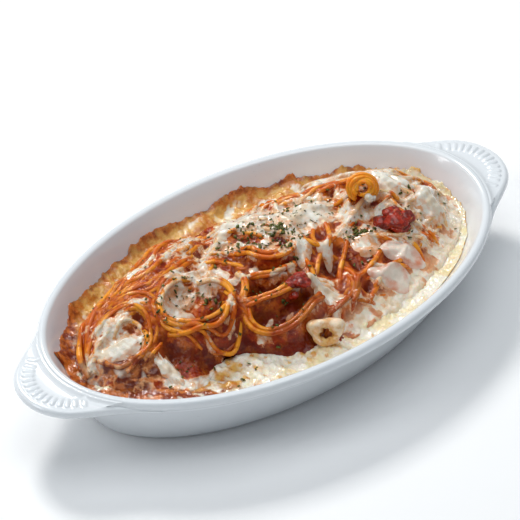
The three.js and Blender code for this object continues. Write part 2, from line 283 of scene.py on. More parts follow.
foot_arc = corner_arc(outer_inset(0), 0, 3, 8)
foot_inside = foot_arc[0, 0] + 5
recess_depth = 1.2
recess = [[foot_inside + 1.8, recess_depth], [foot_inside + 1.2, 1.05], [foot_inside + 0.6, 0.4],
          [foot_inside + 0.3, 0.08], [foot_inside, 0]]
lip_turn = np.radians(np.linspace(-88, 148, 26))
lip_z = rim_height - lip_radius
lip_arc = np.column_stack([lip_radius * (1 - np.cos(lip_turn)), lip_z + lip_radius * np.sin(lip_turn)])
wall_z = np.linspace(3.5, lip_foot - 0.6, 12)
inner_z = np.linspace(lip_z - 0.6, floor_thick + 6, 12)
dish_profile = np.concatenate([
    recess, foot_arc, np.column_stack([outer_inset(wall_z), wall_z]), lip_arc,
    np.column_stack([inner_inset(inner_z), inner_z]),
    corner_arc(inner_inset(floor_thick), floor_thick, 10, 10)[::-1]])
dish_around = 288
dish_poles = [[0, 0, recess_depth], [0, 0, floor_thick]]
dish_points = np.concatenate([oval_grid(dish_profile, dish_around).reshape(-1, 3), dish_poles])
dish_quads, dish_fans = capped_faces(len(dish_profile), dish_around)

handle_circle_x, handle_circle_radius = 104.7, 24
handle_top, handle_thick = 33.8, 4.0
bead_pitch, bead_inset, bead_length, bead_width, bead_height = 3.9, 6.0, 5.8, 2.6, 0.75
beads = 15


def touch_direction():
    """The direction in which the oval and the handle's circle reach equally far, by halving."""
    low, high = 0.0, pi / 2
    for _ in range(40):
        turn = (low + high) / 2
        oval = hypot(half_length * cos(turn), half_width * sin(turn))
        inside = handle_circle_x * cos(turn) + handle_circle_radius > oval
        low, high = (turn, high) if inside else (low, turn)
    return low


touch = touch_direction()
touch_reach = hypot(half_length * cos(touch), half_width * sin(touch))
touch_x = half_length**2 * cos(touch) / touch_reach
touch_y = half_width**2 * sin(touch) / touch_reach
circle_length = touch * handle_circle_radius
side_length = hypot(touch_x - handle_circle_x - handle_circle_radius * cos(touch),
                    touch_y - handle_circle_radius * sin(touch))


def handle_outline(length):
    """Point and facing of the outline at a length from its tip: round the circle, then straight."""
    on_circle = np.minimum(abs(length) / handle_circle_radius, touch)
    on_side = abs(length) - on_circle * handle_circle_radius
    waist = 1.1 * np.sin(pi * np.clip(on_side / side_length, 0, 1)) ** 2
    x = handle_circle_x + (handle_circle_radius - waist) * np.cos(on_circle) - on_side * np.sin(on_circle)
    y = (handle_circle_radius - waist) * np.sin(on_circle) + on_side * np.cos(on_circle)
    side = np.sign(length)
    return x, y * side, on_circle * side


def beading(x, y):
    """Height of the raised beads at a place: domes in a row at one distance inside the outline."""
    turn = np.arctan2(abs(y), x - handle_circle_x)
    from_circle = handle_circle_radius - np.hypot(x - handle_circle_x, y)
    on_side = -(x - handle_circle_x) * sin(touch) + abs(y) * cos(touch)
    from_side = handle_circle_radius - (x - handle_circle_x) * cos(touch) - abs(y) * sin(touch)
    round_part = turn < touch
    length = np.where(round_part, turn * handle_circle_radius, circle_length + on_side) * np.sign(y)
    inset = np.where(round_part, from_circle, from_side)
    nearest = np.clip(np.round(length / bead_pitch), -(beads // 2), beads // 2)
    spread = np.where(round_part, np.clip(1 - inset / handle_circle_radius, 0.3, 1), 1)
    along = (length - nearest * bead_pitch) * spread / (bead_width / 2)
    across = (inset - bead_inset) / (bead_length / 2)
    fade = 1 - 0.35 * (abs(nearest) / (beads // 2)) ** 3
    return bead_height * fade * np.clip(1 - along**2 - across**4, 0, 1) ** 0.7


def handle_grid(stations):
    """Closed sections from the root in the lip, over the beaded top and round edge, and back under."""
    reach = circle_length + side_length - 5
    length = np.linspace(-reach, reach, stations)[:, None]
    x, y, turn = handle_outline(length)
    root_angle = np.arctan2(touch_y / half_width, touch_x / half_length) * length / reach
    root_x, root_y = (half_length - 3) * np.cos(root_angle), (half_width - 3) * np.sin(root_angle)
    width = np.hypot(x - root_x, y - root_y)
    fine = np.linspace(0, 1, 38) ** 1.15
    share = np.concatenate([fine[::-1], np.zeros(8), fine[::4]])
    round_turn = np.radians(np.concatenate([np.full(38, 90), np.linspace(80, -80, 8), np.full(10, -90)]))
    end = abs(length) / reach
    half = handle_thick / 2 * np.minimum(1, 0.3 + 2 * (1 - end))
    level = handle_top - handle_thick / 2 - 0.2 * np.maximum(0, 4 * end - 3)
    edge_out = half * (np.cos(round_turn) - 1)
    px = x + (root_x - x) * share + edge_out * np.cos(turn) * (share == 0)
    py = y + (root_y - y) * share + edge_out * np.sin(turn) * (share == 0)
    px = px - half * np.cos(turn) * (share > 0) * np.clip(1 - share * width / 4, 0, 1)
    py = py - half * np.sin(turn) * (share > 0) * np.clip(1 - share * width / 4, 0, 1)
    over = np.sin(round_turn) > 0.99
    reach_out = np.hypot(px / half_length, py / half_width)
    from_lip = (reach_out - 1) * reach_out / np.hypot(px / half_length**2, py / half_width**2)
    fillet = 1.7 * np.exp(-np.maximum(from_lip, 0) / 1.5)
    pz = level + half * np.sin(round_turn) + over * (beading(px, py) * (end < 0.8) + fillet * (half > 1.9))
    return np.stack([px, py, pz], -1)


handle_sections = handle_grid(300)
handle = np.concatenate([handle_sections.reshape(-1, 3), handle_sections[[0, -1]].mean(1)])
for half_turn in ([1, 1, 1], [-1, -1, 1]):
    handle_quads, handle_fans = capped_faces(*handle_sections.shape[:2], len(dish_points))
    dish_points = np.concatenate([dish_points, handle * half_turn])
    dish_quads = np.concatenate([dish_quads, handle_quads])
    dish_fans = np.concatenate([dish_fans, handle_fans])

porcelain = Finish("white_glazed_porcelain", Roughness=0.16, Coat_Weight=0.35, Coat_Roughness=0.06,
                   IOR=1.5, Subsurface_Weight=0.08, Subsurface_Radius=(1, 1, 1), Subsurface_Scale=0.002)
cool_glaze = porcelain.mix(porcelain.noise(38, 2), (0.77, 0.81, 0.85), (0.82, 0.85, 0.87))
kiln_speck = porcelain.patches(1.1, 1, 0.76, 0.80)
porcelain.feed(Base_Color=porcelain.mix(porcelain.math("MULTIPLY", kiln_speck, 0.25), cool_glaze,
                                        (0.45, 0.42, 0.38)),
               Roughness=porcelain.patches(22, 3, 0.3, 0.7, 0.12, 0.2),
               Normal=porcelain.bump(porcelain.noise(9, 2), 0.05))
dish = make_piece("glazed_dish", dish_points, dish_quads, dish_fans, porcelain.material, "porcelain")
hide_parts("dish")


# Filling: melted cheese over sauce, poured in up to a level below the rim. It is baked on to the wall
# in an uneven browned edge: amber at the far side, dark and crisp at the left end with two points
# that stand up the wall, pale at the right. One closed grid runs from the floor up and to the middle.
bed_level = 24.0


def cloud(x, y, size, seed):
    """Smooth uneven value of about -1 to 1: plane waves of random direction, size and phase."""
    dice = np.random.default_rng(seed)
    turn, phase = dice.uniform(0, 2 * pi, (2, 14))
    wave = 2 * pi / (size * dice.uniform(0.7, 1.8, 14))
    total = np.zeros(np.broadcast(x, y).shape)
    for k in range(14):
        total += np.sin(wave[k] * (x * cos(turn[k]) + y * sin(turn[k])) + phase[k])
    return total / 3.2


def smooth_step(value, low, high):
    """0 below low, 1 above high, and an S-curve between."""
    share = np.clip((value - low) / (high - low), 0, 1)
    return share * share * (3 - 2 * share)


def bed_top(x, y):
    """Level of the filling: rippled, with small blisters and pits."""
    blisters = smooth_step(cloud(x, y, 6, 3), 0.4, 1.3) + 0.5 * smooth_step(cloud(x, y, 2.8, 4), 0.5, 1.4)
    return (bed_level + 0.5 * np.sin(x / 9 + 1.3) * np.cos(y / 8) + 0.6 * cloud(x, y, 13, 2)
            + 0.75 * blisters + 0.12 * cloud(x, y, 1.9, 5))


bed_around, bed_rings = 720, 84
bed_angle = np.linspace(0, 2 * pi, bed_around, endpoint=False)
wall_run = (118 * np.cos(bed_angle), 118 * np.sin(bed_angle))
far_share = smooth_step(np.sin(bed_angle + 0.25), -0.15, 0.5)
left_share = smooth_step(-np.cos(bed_angle - 0.25), 0.45, 0.85)
right_share = smooth_step(np.cos(bed_angle + 0.35), 0.2, 0.8)
crust_top = (bed_level + 1.3 + 2.3 * far_share * (1 - 0.6 * right_share)
             + (0.4 + 0.6 * far_share) * cloud(*wall_run, 30, 11)
             + (0.25 + 0.1 * far_share) * cloud(*wall_run, 10, 12)
             + (0.2 + 1.2 * far_share) * smooth_step(cloud(*wall_run, 19, 14), 0.6, 1.3)
             + (0.12 + 0.14 * far_share) * cloud(*wall_run, 3.0, 13))
point_width = 0.034
for point_angle, point_height in ((2.84, 5.2), (3.13, 4.6)):
    crust_top = crust_top + point_height * np.exp(-((bed_angle - point_angle) / point_width) ** 2)
from_wall = np.concatenate([[0, 0.15, 0.35, 0.6, 0.9, 1.25, 1.65, 2.1, 2.6, 3.2],
                            3.2 + 50 * np.linspace(0, 1, bed_rings - 9)[1:] ** 1.15])[:, None]
crust_drop = (crust_top - bed_level) * np.exp(-np.maximum(from_wall - 0.3, 0) / 1.3)
wall_in = inner_inset(bed_level + crust_drop) + 0.3 + from_wall
bed_x = (half_length - wall_in * (1 + 0.55 * smooth_step(from_wall, 20, 56))) * np.cos(bed_angle)
bed_y = (half_width - wall_in) * np.sin(bed_angle)
bed_z = crust_drop + bed_level + (bed_top(bed_x, bed_y) - bed_level) * smooth_step(from_wall, 0.2, 2.5)
bed_z[0] = crust_top - 0.25
dish_gap = 0.4
floor_inset = inner_inset(floor_thick + dish_gap) + dish_gap
under = corner_arc(floor_inset, floor_thick + dish_gap, 9.6, 6)
under = np.concatenate([under, [[inner_inset(bed_level - 4) + dish_gap, bed_level - 4]]])
bed_grid = np.concatenate([oval_grid(under, bed_around), np.stack([bed_x, bed_y, bed_z], -1)])
bed_poles = np.array([[0, 0, floor_thick + dish_gap], [0, 0, bed_z[-1].mean()]])


def bed_amount(top, below):
    """An amount for every point of the filling: one for its top, one for the rest."""
    return np.concatenate([np.full(len(under) * bed_around, below),
                           (top + 0 * bed_z).ravel(), [below, below]])


edge_width = 1.0 + 1.7 * left_share + 0.4 * far_share * (1 - right_share) - 0.45 * right_share
edge_brown = (1 - 0.5 * right_share) * np.exp(-((from_wall / edge_width) ** 2))
near_left = smooth_step(-bed_x, 50, 78) * smooth_step(-bed_y, 0, 20)
near_middle = np.exp(-(((bed_x + 4) / 13) ** 2)) * smooth_step(-bed_y, 20, 38)
band_brown = (0.9 * far_share * (1 - 0.8 * right_share) * smooth_step(-from_wall, -16, -7)
              * (0.8 + 0.5 * cloud(bed_x, bed_y, 9, 83) + 0.5 * smooth_step(-bed_x, 0, 40))
              + 0.85 * near_left * (0.85 + 0.5 * cloud(bed_x, bed_y, 7, 84))
              + near_middle * (0.5 + 0.7 * cloud(bed_x, bed_y, 7, 86)) * smooth_step(from_wall, 3, 12)
              + 0.6 * left_share * (0.8 + 0.6 * cloud(bed_x, bed_y, 8, 85)))
blister_brown = 0.5 * smooth_step(cloud(bed_x, bed_y, 3.4, 81), 0.55, 1.3) * (1 - 0.5 * right_share)
bed_brown = np.clip(edge_brown + band_brown + blister_brown, 0, 1.3)
bed_dark = (1.3 * left_share * np.exp(-((from_wall / 7) ** 2)) + 0.6 * near_left
            + 0.55 * edge_brown * far_share
            + 0.25 * smooth_step(cloud(bed_x, bed_y, 6, 87), 0.4, 1.2) * far_share)

bed_finish = Finish("gratin_filling", Coat_Weight=0.5, Coat_Roughness=0.04, Specular_IOR_Level=0.4,
                    Subsurface_Radius=(1.0, 0.55, 0.25), Subsurface_Scale=0.0025)
oily_cream = bed_finish.blotched(7, 3, 0.42, 0.62, (0.85, 0.79, 0.66), (0.81, 0.68, 0.41))
amber = bed_finish.blotched(5, 4, 0.38, 0.62, (0.56, 0.18, 0.018), (0.74, 0.42, 0.10))
scorched = bed_finish.blotched(4, 4, 0.42, 0.6, (0.22, 0.032, 0.006), (0.58, 0.16, 0.025))
browned = bed_finish.mix(bed_finish.step(bed_finish.amount("dark"), 0.1, 0.8), amber, scorched)
brown_share = bed_finish.step(
    bed_finish.math("ADD", bed_finish.amount("brown"), bed_finish.patches(5, 5, 0.28, 0.72, -0.3, 0.3)),
    0.2, 0.8)
bed_finish.feed(Base_Color=bed_finish.mix(brown_share, oily_cream, browned),
                Subsurface_Weight=bed_finish.step(brown_share, 0, 1, 0.3, 0.12),
                Roughness=bed_finish.shine(2.5, 0.14, 0.38),
                Normal=bed_finish.bump(bed_finish.noise(1.3, 4), 0.4))
bed = make_piece("gratin_filling", np.concatenate([bed_grid.reshape(-1, 3), bed_poles]),
                 *capped_faces(len(bed_grid), bed_around), bed_finish.material, "gratin",
                 brown=bed_amount(bed_brown, 0.6), dark=bed_amount(bed_dark, 0.5))
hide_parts("gratin_bed")


# Heap of spaghetti: cooked noodles of about 2 mm in two coiled nests, long strands along the far
# left, loops in front and a tangle below. Each is a swept tube laid on what was dropped before it,
# and a height map of the heap rises by it. The heap itself lies loose on the filling.
heap_low, heap_high = (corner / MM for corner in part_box("noodle_heap"))
heap_left, heap_right = -heap_low.x + 0.7, heap_high.x + 0.7
heap_far, heap_near, heap_rise = 46, 45, 20
noodle_layer, heap_base = 5.2, bed_level - 1.5
# A lump or hollow is given as its middle, its reach, and how high or deep it is. A clear spot is an
# oval, given as its middle and its reach along and across, that the loose tangle stays out of.
lumps = np.array([
    (-77, 2, 12, 2.5), (-60, -6, 7, -3.5), (-42, -3, 14, 3), (-22, -16, 8, -3), (-6, -24, 13, 2),
    (10, 14, 22, 2.5), (24, -18, 7, -2.5), (56, 8, 15, 2)])
hollows = np.array([
    (-42, -12, 5, 4), (-5, -7, 3.5, 5), (19, -18, 3.5, 5), (-14, -14, 4.5, 3), (-25, -12, 4, 3),
    (-62, -18, 4, 3), (-4, -42, 3.5, 4), (-45, -3, 9, 2.5), (31, -24, 4, 2)])
clear_spots = np.array([
    (-77, 1, 12, 9), (-43, -5, 14, 11), (-5, -7, 5, 4), (-14, -14.5, 8, 6), (-12, -26.5, 15, 5.5),
    (19, -18, 4.5, 4), (-62, -18, 4, 9), (4, 4, 6, 8), (-19, 4, 6, 7), (44, -17, 14, 10), (34, 2, 5, 8)])


def heap_share(x):
    """How far along its half the heap is at x: 0 in the middle, 1 at its tip."""
    return np.clip(abs(x) / np.where(x < 0, heap_left, heap_right), 0, 1)


def heap_feet(x):
    """Where the heap meets the filling on the near and the far side."""
    taper = 1 - heap_share(x) ** 2
    near = heap_near * taper ** np.where(x < 0, 0.8, 0.5) - 24 * np.exp(-(((x + 44) / 20) ** 2)) * taper
    return -near, heap_far * taper**0.55


def heap_top(x, y):
    """Smooth height of the heap: a dome from foot to foot, with lumps; the filling beyond it."""
    near, far = heap_feet(x)
    across = np.clip(abs(2 * y - near - far) / np.maximum(far - near, 1e-3), 0, 1)
    along = np.sqrt(1 - heap_share(x) ** np.where(x < 0, 3.5, 5))
    rise = heap_rise * along
    for lump_x, lump_y, spread, height in lumps:
        rise = rise + height * np.exp(-(((x - lump_x) ** 2 + (y - lump_y) ** 2) / spread**2))
    return bed_level + (1 - across**2.3) ** 0.7 * rise


grid_step = 0.5
relief_x = np.arange(-108, 108.1, grid_step)
relief_y = np.arange(-62, 62.1, grid_step)
map_x, map_y = np.meshgrid(relief_x, relief_y, indexing="ij")
relief = heap_top(map_x, map_y) - noodle_layer
for hollow_x, hollow_y, spread, depth in hollows:
    relief -= depth * np.exp(-(((map_x - hollow_x) ** 2 + (map_y - hollow_y) ** 2) / spread**2))
relief = np.maximum(relief, heap_base)


def read_map(field, x, y):
    """Value of a map at places, by weighing the four nearest grid points."""
    column = np.clip((x - relief_x[0]) / grid_step, 0, len(relief_x) - 1.001)
    row = np.clip((y - relief_y[0]) / grid_step, 0, len(relief_y) - 1.001)
    i, j = column.astype(int), row.astype(int)
    u, v = column - i, row - j
    return ((1 - u) * (1 - v) * field[i, j] + u * (1 - v) * field[i + 1, j]
            + (1 - u) * v * field[i, j + 1] + u * v * field[i + 1, j + 1])


def blur_map(field, radius):
    """A map blurred with a Gaussian of a radius in millimetres, by its spectrum."""
    wave_x = np.fft.fftfreq(field.shape[0], grid_step)[:, None]
    wave_y = np.fft.rfftfreq(field.shape[1], grid_step)[None]
    keep = np.exp(-2 * (pi * radius) ** 2 * (wave_x**2 + wave_y**2))
    return np.fft.irfft2(np.fft.rfft2(field) * keep, s=field.shape)


def even_path(path, spacing):
    """A path of (x, y) or (x, y, z) points, with points at even distances along it."""
    gaps = np.linalg.norm(np.diff(path[:, :2], axis=0), axis=1)
    length = np.concatenate([[0], np.cumsum(gaps)])
    at = np.linspace(0, length[-1], max(int(length[-1] / spacing), 4))
    return np.column_stack([np.interp(at, length, column) for column in path.T])


def smooth_along(values, times):
    """Values along a path, each averaged with its neighbours a number of times."""
    for _ in range(times):
        values = np.concatenate([values[:1], (values[:-2] + 2 * values[1:-1] + values[2:]) / 4,
                                 values[-1:]])
    return values


def sideways(path):
    """Level unit vectors square to a path: its direction from point to point, turned left."""
    heading = np.gradient(path[:, :2], axis=0)
    heading /= np.maximum(np.linalg.norm(heading, axis=1, keepdims=True), 1e-9)
    return np.column_stack([-heading[:, 1], heading[:, 0]])


point_gap, stamp_gap = 1.2, 0.35
sunk_radii, least_radii, wanted_radii = 0.5, 0.3, 0.7
most_over_heap, end_tuck, tuck_length, bend_rounds = 1.2, 3.0, 8, 5


def from_ends(count):
    """How many points each of a row of points is away from the nearer end of the row."""
    return np.minimum(np.arange(count), np.arange(count)[::-1])


def drop_noodle(path, radius):
    """Centre line of a noodle laid on the relief, which then rises by it. Its height clears what
    lies under its width, less half a radius, smoothed along its length; its ends are tucked in."""
    path = even_path(np.asarray(path, float), point_gap)
    across = np.array([-0.6, -0.3, 0, 0.3, 0.6])
    probe = path[:, None, :2] + sideways(path)[:, None] * across[None, :, None] * radius
    lift = radius * np.sqrt(1 - across**2)
    need = (read_map(relief, probe[..., 0], probe[..., 1]) + lift).max(1) - sunk_radii * radius
    height = smooth_along(np.maximum(need, smooth_along(need, bend_rounds)), bend_rounds)
    height = np.maximum(height, need - least_radii * radius)
    height = np.minimum(height, heap_top(path[:, 0], path[:, 1]) + most_over_heap)
    if path.shape[1] == 3:
        height = smooth_along(np.maximum(path[:, 2], need - wanted_radii * radius), bend_rounds)
    height = height - end_tuck * (1 - smooth_step(from_ends(len(path)) * point_gap, 0, tuck_length))
    line = np.column_stack([path[:, :2], height])
    stamp = even_path(line, stamp_gap)
    side = sideways(stamp)
    over = np.linspace(-0.95, 0.95, 9)
    print_x = stamp[:, :1] + side[:, :1] * over * radius
    print_y = stamp[:, 1:2] + side[:, 1:] * over * radius
    print_z = stamp[:, 2:] + radius * np.sqrt(1 - over**2)
    cell_x = np.clip(np.round((print_x - relief_x[0]) / grid_step).astype(int), 0, len(relief_x) - 1)
    cell_y = np.clip(np.round((print_y - relief_y[0]) / grid_step).astype(int), 0, len(relief_y) - 1)
    np.maximum.at(relief, (cell_x, cell_y), print_z)
    return line


def sweep_noodles(lines, radii, sides=8):
    """Points and faces of tubes along centre lines: at each point a ring square to the line, a
    little flattened, whose radius swells and thins in a slow wave; a pole closes each end."""
    points, quads, triangles, count = [], [], [], 0
    turn = np.linspace(0, 2 * pi, sides, endpoint=False)
    wide, flat = 1.05, 0.95
    for line, radius in zip(lines, radii):
        heading = np.gradient(line, axis=0)
        heading /= np.linalg.norm(heading, axis=1, keepdims=True)
        side = np.cross(heading, [0, 0, 1])
        side /= np.maximum(np.linalg.norm(side, axis=1, keepdims=True), 1e-6)
        up = np.cross(side, heading)
        swell = radius * (1 + 0.06 * np.sin(np.arange(len(line)) * 0.35 + line[0, 0]))[:, None, None]
        ring = line[:, None] + swell * (wide * np.cos(turn)[None, :, None] * side[:, None]
                                        + flat * np.sin(turn)[None, :, None] * up[:, None])
        points += [ring.reshape(-1, 3), line[[0, -1]]]
        tube_quads, tube_fans = capped_faces(len(line), sides, count, True)
        quads.append(tube_quads)
        triangles.append(tube_fans)
        count += len(line) * sides + 2
    return np.concatenate(points), np.concatenate(quads), np.concatenate(triangles)


stride, coil_reach, coil_pull = 1.5, 15, 0.2
coils = ((-77, 2), (-43, -4), (-4, -16), (30, 0), (62, -6))


def tangle(count, seed, length, keep_out):
    """Wandering paths over the heap: each heads along the heap or round the nearest coil, and its
    bend drifts as it goes; it ends where it would enter one of the ovals of keep_out."""
    dice = np.random.default_rng(seed)
    steps = int(length / stride)
    inside_foot, inside_tip, least_points = 0.5, 0.985, 12
    x = dice.uniform(-heap_left * 0.95, heap_right * 0.95, count)
    near, far = heap_feet(x)
    y = near + (far - near) * dice.uniform(0.04, 0.96, count)
    facing = np.where(dice.random(count) < 0.5, 0, pi) + dice.normal(0, 0.6, count)
    facing = facing - 1.2 * smooth_step(x, 55, 80)
    bend = dice.normal(0, 0.02, count)
    path = np.empty((steps, count, 2))
    for step in range(steps):
        path[step] = np.column_stack([x, y])
        pull = 0
        for centre_x, centre_y in coils:
            away = np.hypot(x - centre_x, y - centre_y)
            round_facing = np.arctan2(y - centre_y, x - centre_x) + pi / 2
            pull = pull + np.sin(round_facing - facing) * np.exp(-((away / coil_reach) ** 2)) * coil_pull
        bend = 0.9 * bend + dice.normal(0, 0.022, count)
        facing = facing + bend + pull
        x = x + stride * np.cos(facing)
        y = y + stride * np.sin(facing)
    paths = []
    for line in path.transpose(1, 0, 2):
        near, far = heap_feet(line[:, 0])
        inside = (line[:, 1] > near + inside_foot) & (line[:, 1] < far - inside_foot)
        inside &= heap_share(line[:, 0]) < inside_tip
        for clear_x, clear_y, along, across in keep_out:
            inside &= np.hypot((line[:, 0] - clear_x) / along, (line[:, 1] - clear_y) / across) > 1
        last = len(inside) if inside.all() else np.argmin(inside)
        if last > least_points:
            paths.append(line[:last])
    return paths


def bent_path(*knots):
    """Smooth path through knots: a Catmull-Rom curve, a cubic between each two knots."""
    knots = np.array(knots, float)
    knots = np.concatenate([[2 * knots[0] - knots[1]], knots, [2 * knots[-1] - knots[-2]]])
    t = np.linspace(0, 1, 12, endpoint=False)[:, None]
    parts = []
    for a, b, c, d in zip(knots, knots[1:], knots[2:], knots[3:]):
        parts.append(b + 0.5 * t * (c - a + t * (2 * a - 5 * b + 4 * c - d + t * (3 * (b - c) + d - a))))
    return np.concatenate(parts + [knots[-2:-1]])


def turned(middle, u, v, turn):
    """Places (x, y) of points u along and v across a frame at a middle, turned to the left."""
    return (middle[0] + u * np.cos(turn) - v * np.sin(turn),
            middle[1] + u * np.sin(turn) + v * np.cos(turn))


def arc_path(centre, across, turn, start, end, uneven, seed, rise):
    """Part of a turned oval from one angle to another in degrees, uneven by two waves; it rises
    from the first height of rise at its near side to the second at its far side."""
    angle = np.radians(np.linspace(start, end, 60))
    dice = np.random.default_rng(seed)
    wobble = 1 + uneven * np.sin(2 * angle + dice.uniform(0, 6)) + 0.6 * uneven * np.sin(
        3 * angle + dice.uniform(0, 6))
    x, y = turned(centre, across[0] * np.cos(angle) * wobble, across[1] * np.sin(angle) * wobble, turn)
    far = 0.5 + 0.5 * np.sin(angle + turn + 0.7)
    return np.column_stack([x, y, rise[0] + (rise[1] - rise[0]) * far])


noodle_lines, noodle_radii = [], []


def lay(paths, radius, seed):
    """Drops each path on the heap as a noodle and keeps its line; the radius varies a little."""
    dice = np.random.default_rng(seed)
    for path in paths:
        thick = radius * dice.uniform(0.92, 1.1)
        noodle_lines.append(drop_noodle(path, thick))
        noodle_radii.append(thick)


thin, thicker, thickest = 1.05, 1.15, 1.32
lay(tangle(150, 5, 80, clear_spots), thin, 2)
lay(tangle(130, 6, 60, clear_spots), thin, 3)


def beside(path, *offsets):
    """Copies of a path moved sideways by offsets, each with a slow wave of its own."""
    copies = []
    for k, offset in enumerate(offsets):
        sway = offset + 0.7 * cloud(path[:, 0], path[:, 1], 24, 300 + k + len(path))
        drop = 0.25 * abs(offset) + 0.4 * cloud(path[:, 0], path[:, 1], 15, 320 + k)
        copies.append(path + np.column_stack([sideways(path) * sway[:, None], -drop]))
    return copies


# Knots of the strands that show one by one: x, y and the height each is held at.
long_strands = (
    ((-74, 20, 34), (-66, 20, 38.5), (-59, 19, 41.5), (-52, 20, 42.5), (-44, 21, 43), (-32.5, 25, 42.5),
     (-22.5, 26.5, 42), (-13.5, 29, 41.5)),
    ((-63, 28, 34), (-55, 26.5, 39.5), (-51, 25, 41.5), (-46, 24.5, 42), (-38.5, 27, 42), (-31, 30, 41),
     (-20, 33.5, 39), (-13, 35.5, 38)),
    ((-48, 31, 38), (-40, 31.5, 39.5), (-34, 35, 37.5), (-27, 38, 36.5), (-18, 41, 35)),
    ((-80, 18, 33.5), (-70, 19, 38), (-62, 16.5, 41.5), (-55.5, 15.5, 42.5), (-51, 13.5, 44),
     (-42, 15.5, 44), (-33, 19, 43.5), (-24, 22, 43)),
    ((-88, 8, 33), (-82, 15.5, 35), (-76.5, 17, 37), (-69.5, 16.5, 39.5), (-63, 15, 41.5),
     (-57.5, 11.5, 43), (-57, 7, 43), (-60, 1.5, 42.5)),
    ((-82, 7, 36.5), (-78, 10, 38.5), (-73, 11, 40.5), (-68.5, 11, 41.5), (-63.5, 9.5, 42.5),
     (-61, 5, 42.5), (-61, 0.5, 41.5), (-64.5, -4.5, 39.5)),
    ((-93, 0, 30), (-91, 7, 32), (-85, 14, 33.5), (-77, 20.5, 33.5), (-68, 24.5, 34.5), (-57, 30, 34),
     (-44, 36, 33)))
for number, knots in enumerate(long_strands):
    lay(beside(bent_path(*knots), -2.8, 2.7, 0), thickest, 400 + number)


def nest(centre, rim, near_height, far_height, wall, inner, turn, seed):
    """Paths of a coiled nest, two at each level: its outer wall from the foot up to the rim, then
    smaller ones that sink inside it."""
    dice = np.random.default_rng(seed)
    paths = []
    for level in range(wall + inner):
        inside, below = max(level - wall + 1, 0), max(wall - 1 - level, 0)
        size = 1 + 0.04 * below - 0.13 * inside
        sink = 2.2 * below + 1.5 * inside
        for _ in range(2):
            start, tilt = dice.uniform(0, 360), dice.normal(0, 1.2)
            paths.append(arc_path(
                np.add(centre, dice.normal(0, 1.2, 2)), np.multiply(rim, size * dice.uniform(0.92, 1.08)),
                turn + dice.normal(0, 0.15), start, start + dice.uniform(120, 220), 0.06,
                int(dice.integers(1e6)), (near_height - sink + tilt, far_height - sink - tilt)))
    return paths


lay(nest((-77, 0.5), (14.5, 11.5), 34.0, 38.5, 3, 3, 0.1, 21), thin, 5)
lay(nest((-43.5, -4.5), (16, 12.8), 39, 43, 3, 1, -0.3, 22), 1.1, 6)
rim_arcs = [arc_path(centre, across, -0.3, start, end, 0.02, 31 + number, rise)
            for number, (centre, across, start, end, rise) in enumerate((
                ((-43, -4.5), (16.8, 13.8), 150, 420, (40.2, 44.5)),
                ((-43.5, -5), (15.8, 12.6), 175, 430, (41.2, 45)),
                ((-43.5, -4.5), (15.2, 12), 130, 370, (39.6, 44)),
                ((-43.5, -5.5), (14.2, 11.2), 190, 350, (38.6, 43))))]
hanging_arcs = [bent_path(*knots) for knots in (
    ((-59, -11, 37.5), (-52, -19.5, 31), (-43, -23.5, 27.5), (-35, -21.5, 30.5), (-30, -14, 37)),
    ((-57, -10, 38.5), (-50, -17.5, 33.5), (-42, -21.5, 31), (-34, -18.5, 34), (-29.5, -11, 39)),
    ((-54, -15, 35), (-47, -22.5, 28), (-40, -25.5, 26.5), (-32.5, -21, 31.5), (-28, -13, 38)),
    ((-61, -9, 38), (-57, -15, 34.5), (-50, -18.5, 33), (-43, -20, 33), (-36, -17, 35.5), (-31, -9, 39.5)))]
lay(rim_arcs + hanging_arcs, thicker, 7)
front_strands = (
    ((-16, -1, 45), (-17, -7, 44.5), (-20.5, -11.5, 42.5), (-25.5, -15, 41), (-29, -20, 38)),
    ((-31, -13.5, 39.5), (-25.5, -15, 40.5), (-18.5, -17, 41.5), (-13, -20.5, 43), (-6.5, -22, 44.5),
     (-1.5, -22.5, 44.5), (6, -20, 44)),
    ((-23.5, -14, 41), (-26, -17.5, 39.5), (-28.5, -23, 36.5), (-27.5, -27.5, 34.5), (-23.5, -31.5, 34),
     (-17.5, -34, 36), (-10.5, -34, 38), (-4, -32.5, 40), (3, -29, 41)),
    ((-8, 11, 46), (-5, 5.5, 46), (-4.5, 2, 46), (-1.5, -2.5, 46), (4, -4, 46), (9.5, -3, 46), (14, 1, 46)),
    ((-16.5, -3, 44.5), (-12, -8.5, 45), (-7.5, -12, 45.5), (-1.5, -12.5, 45.5), (5, -10.5, 45.5)))
for number, knots in enumerate(front_strands):
    lay(beside(bent_path(*knots), -1.9, 0), thicker, 430 + number)
lay([bent_path(*knots) for knots in (
    ((22, -17), (23, -26), (19, -33), (10, -36.5), (0, -35.5)),
    ((24.5, -15), (25, -25), (21, -34), (12, -38.5)),
    ((39, -5), (32, -13), (23, -20), (17, -27)), ((30, 16), (34, 5), (29, -6), (20, -13)),
    ((28, -22), (36, -26), (44, -31), (54, -33)), ((30, -30), (38, -35), (48, -38)),
    ((33, -15), (42, -22), (52, -26), (62, -28)), ((40, -10), (49, -16), (58, -20), (68, -20)),
    ((35, -9), (43, -13), (51, -20), (58, -24)), ((27, -25), (34, -30), (42, -34), (52, -36)),
    ((48, -20), (38, -25), (27, -28.5), (17, -36)), ((60, -22), (50, -29), (38, -32), (26, -35)),
    ((72, 3), (79, -6), (82, -18), (78, -28)), ((62, -14), (69, -20), (71, -30), (64, -37)),
    ((56, -18), (60, -27), (57, -36), (48, -39)), ((-30, 17), (-19, 12), (-12, 4), (-11, -3)),
    ((-24, 20), (-14, 15), (-8, 8)), ((6, 30), (16, 22), (20, 12), (16, 3)))], thicker, 8)


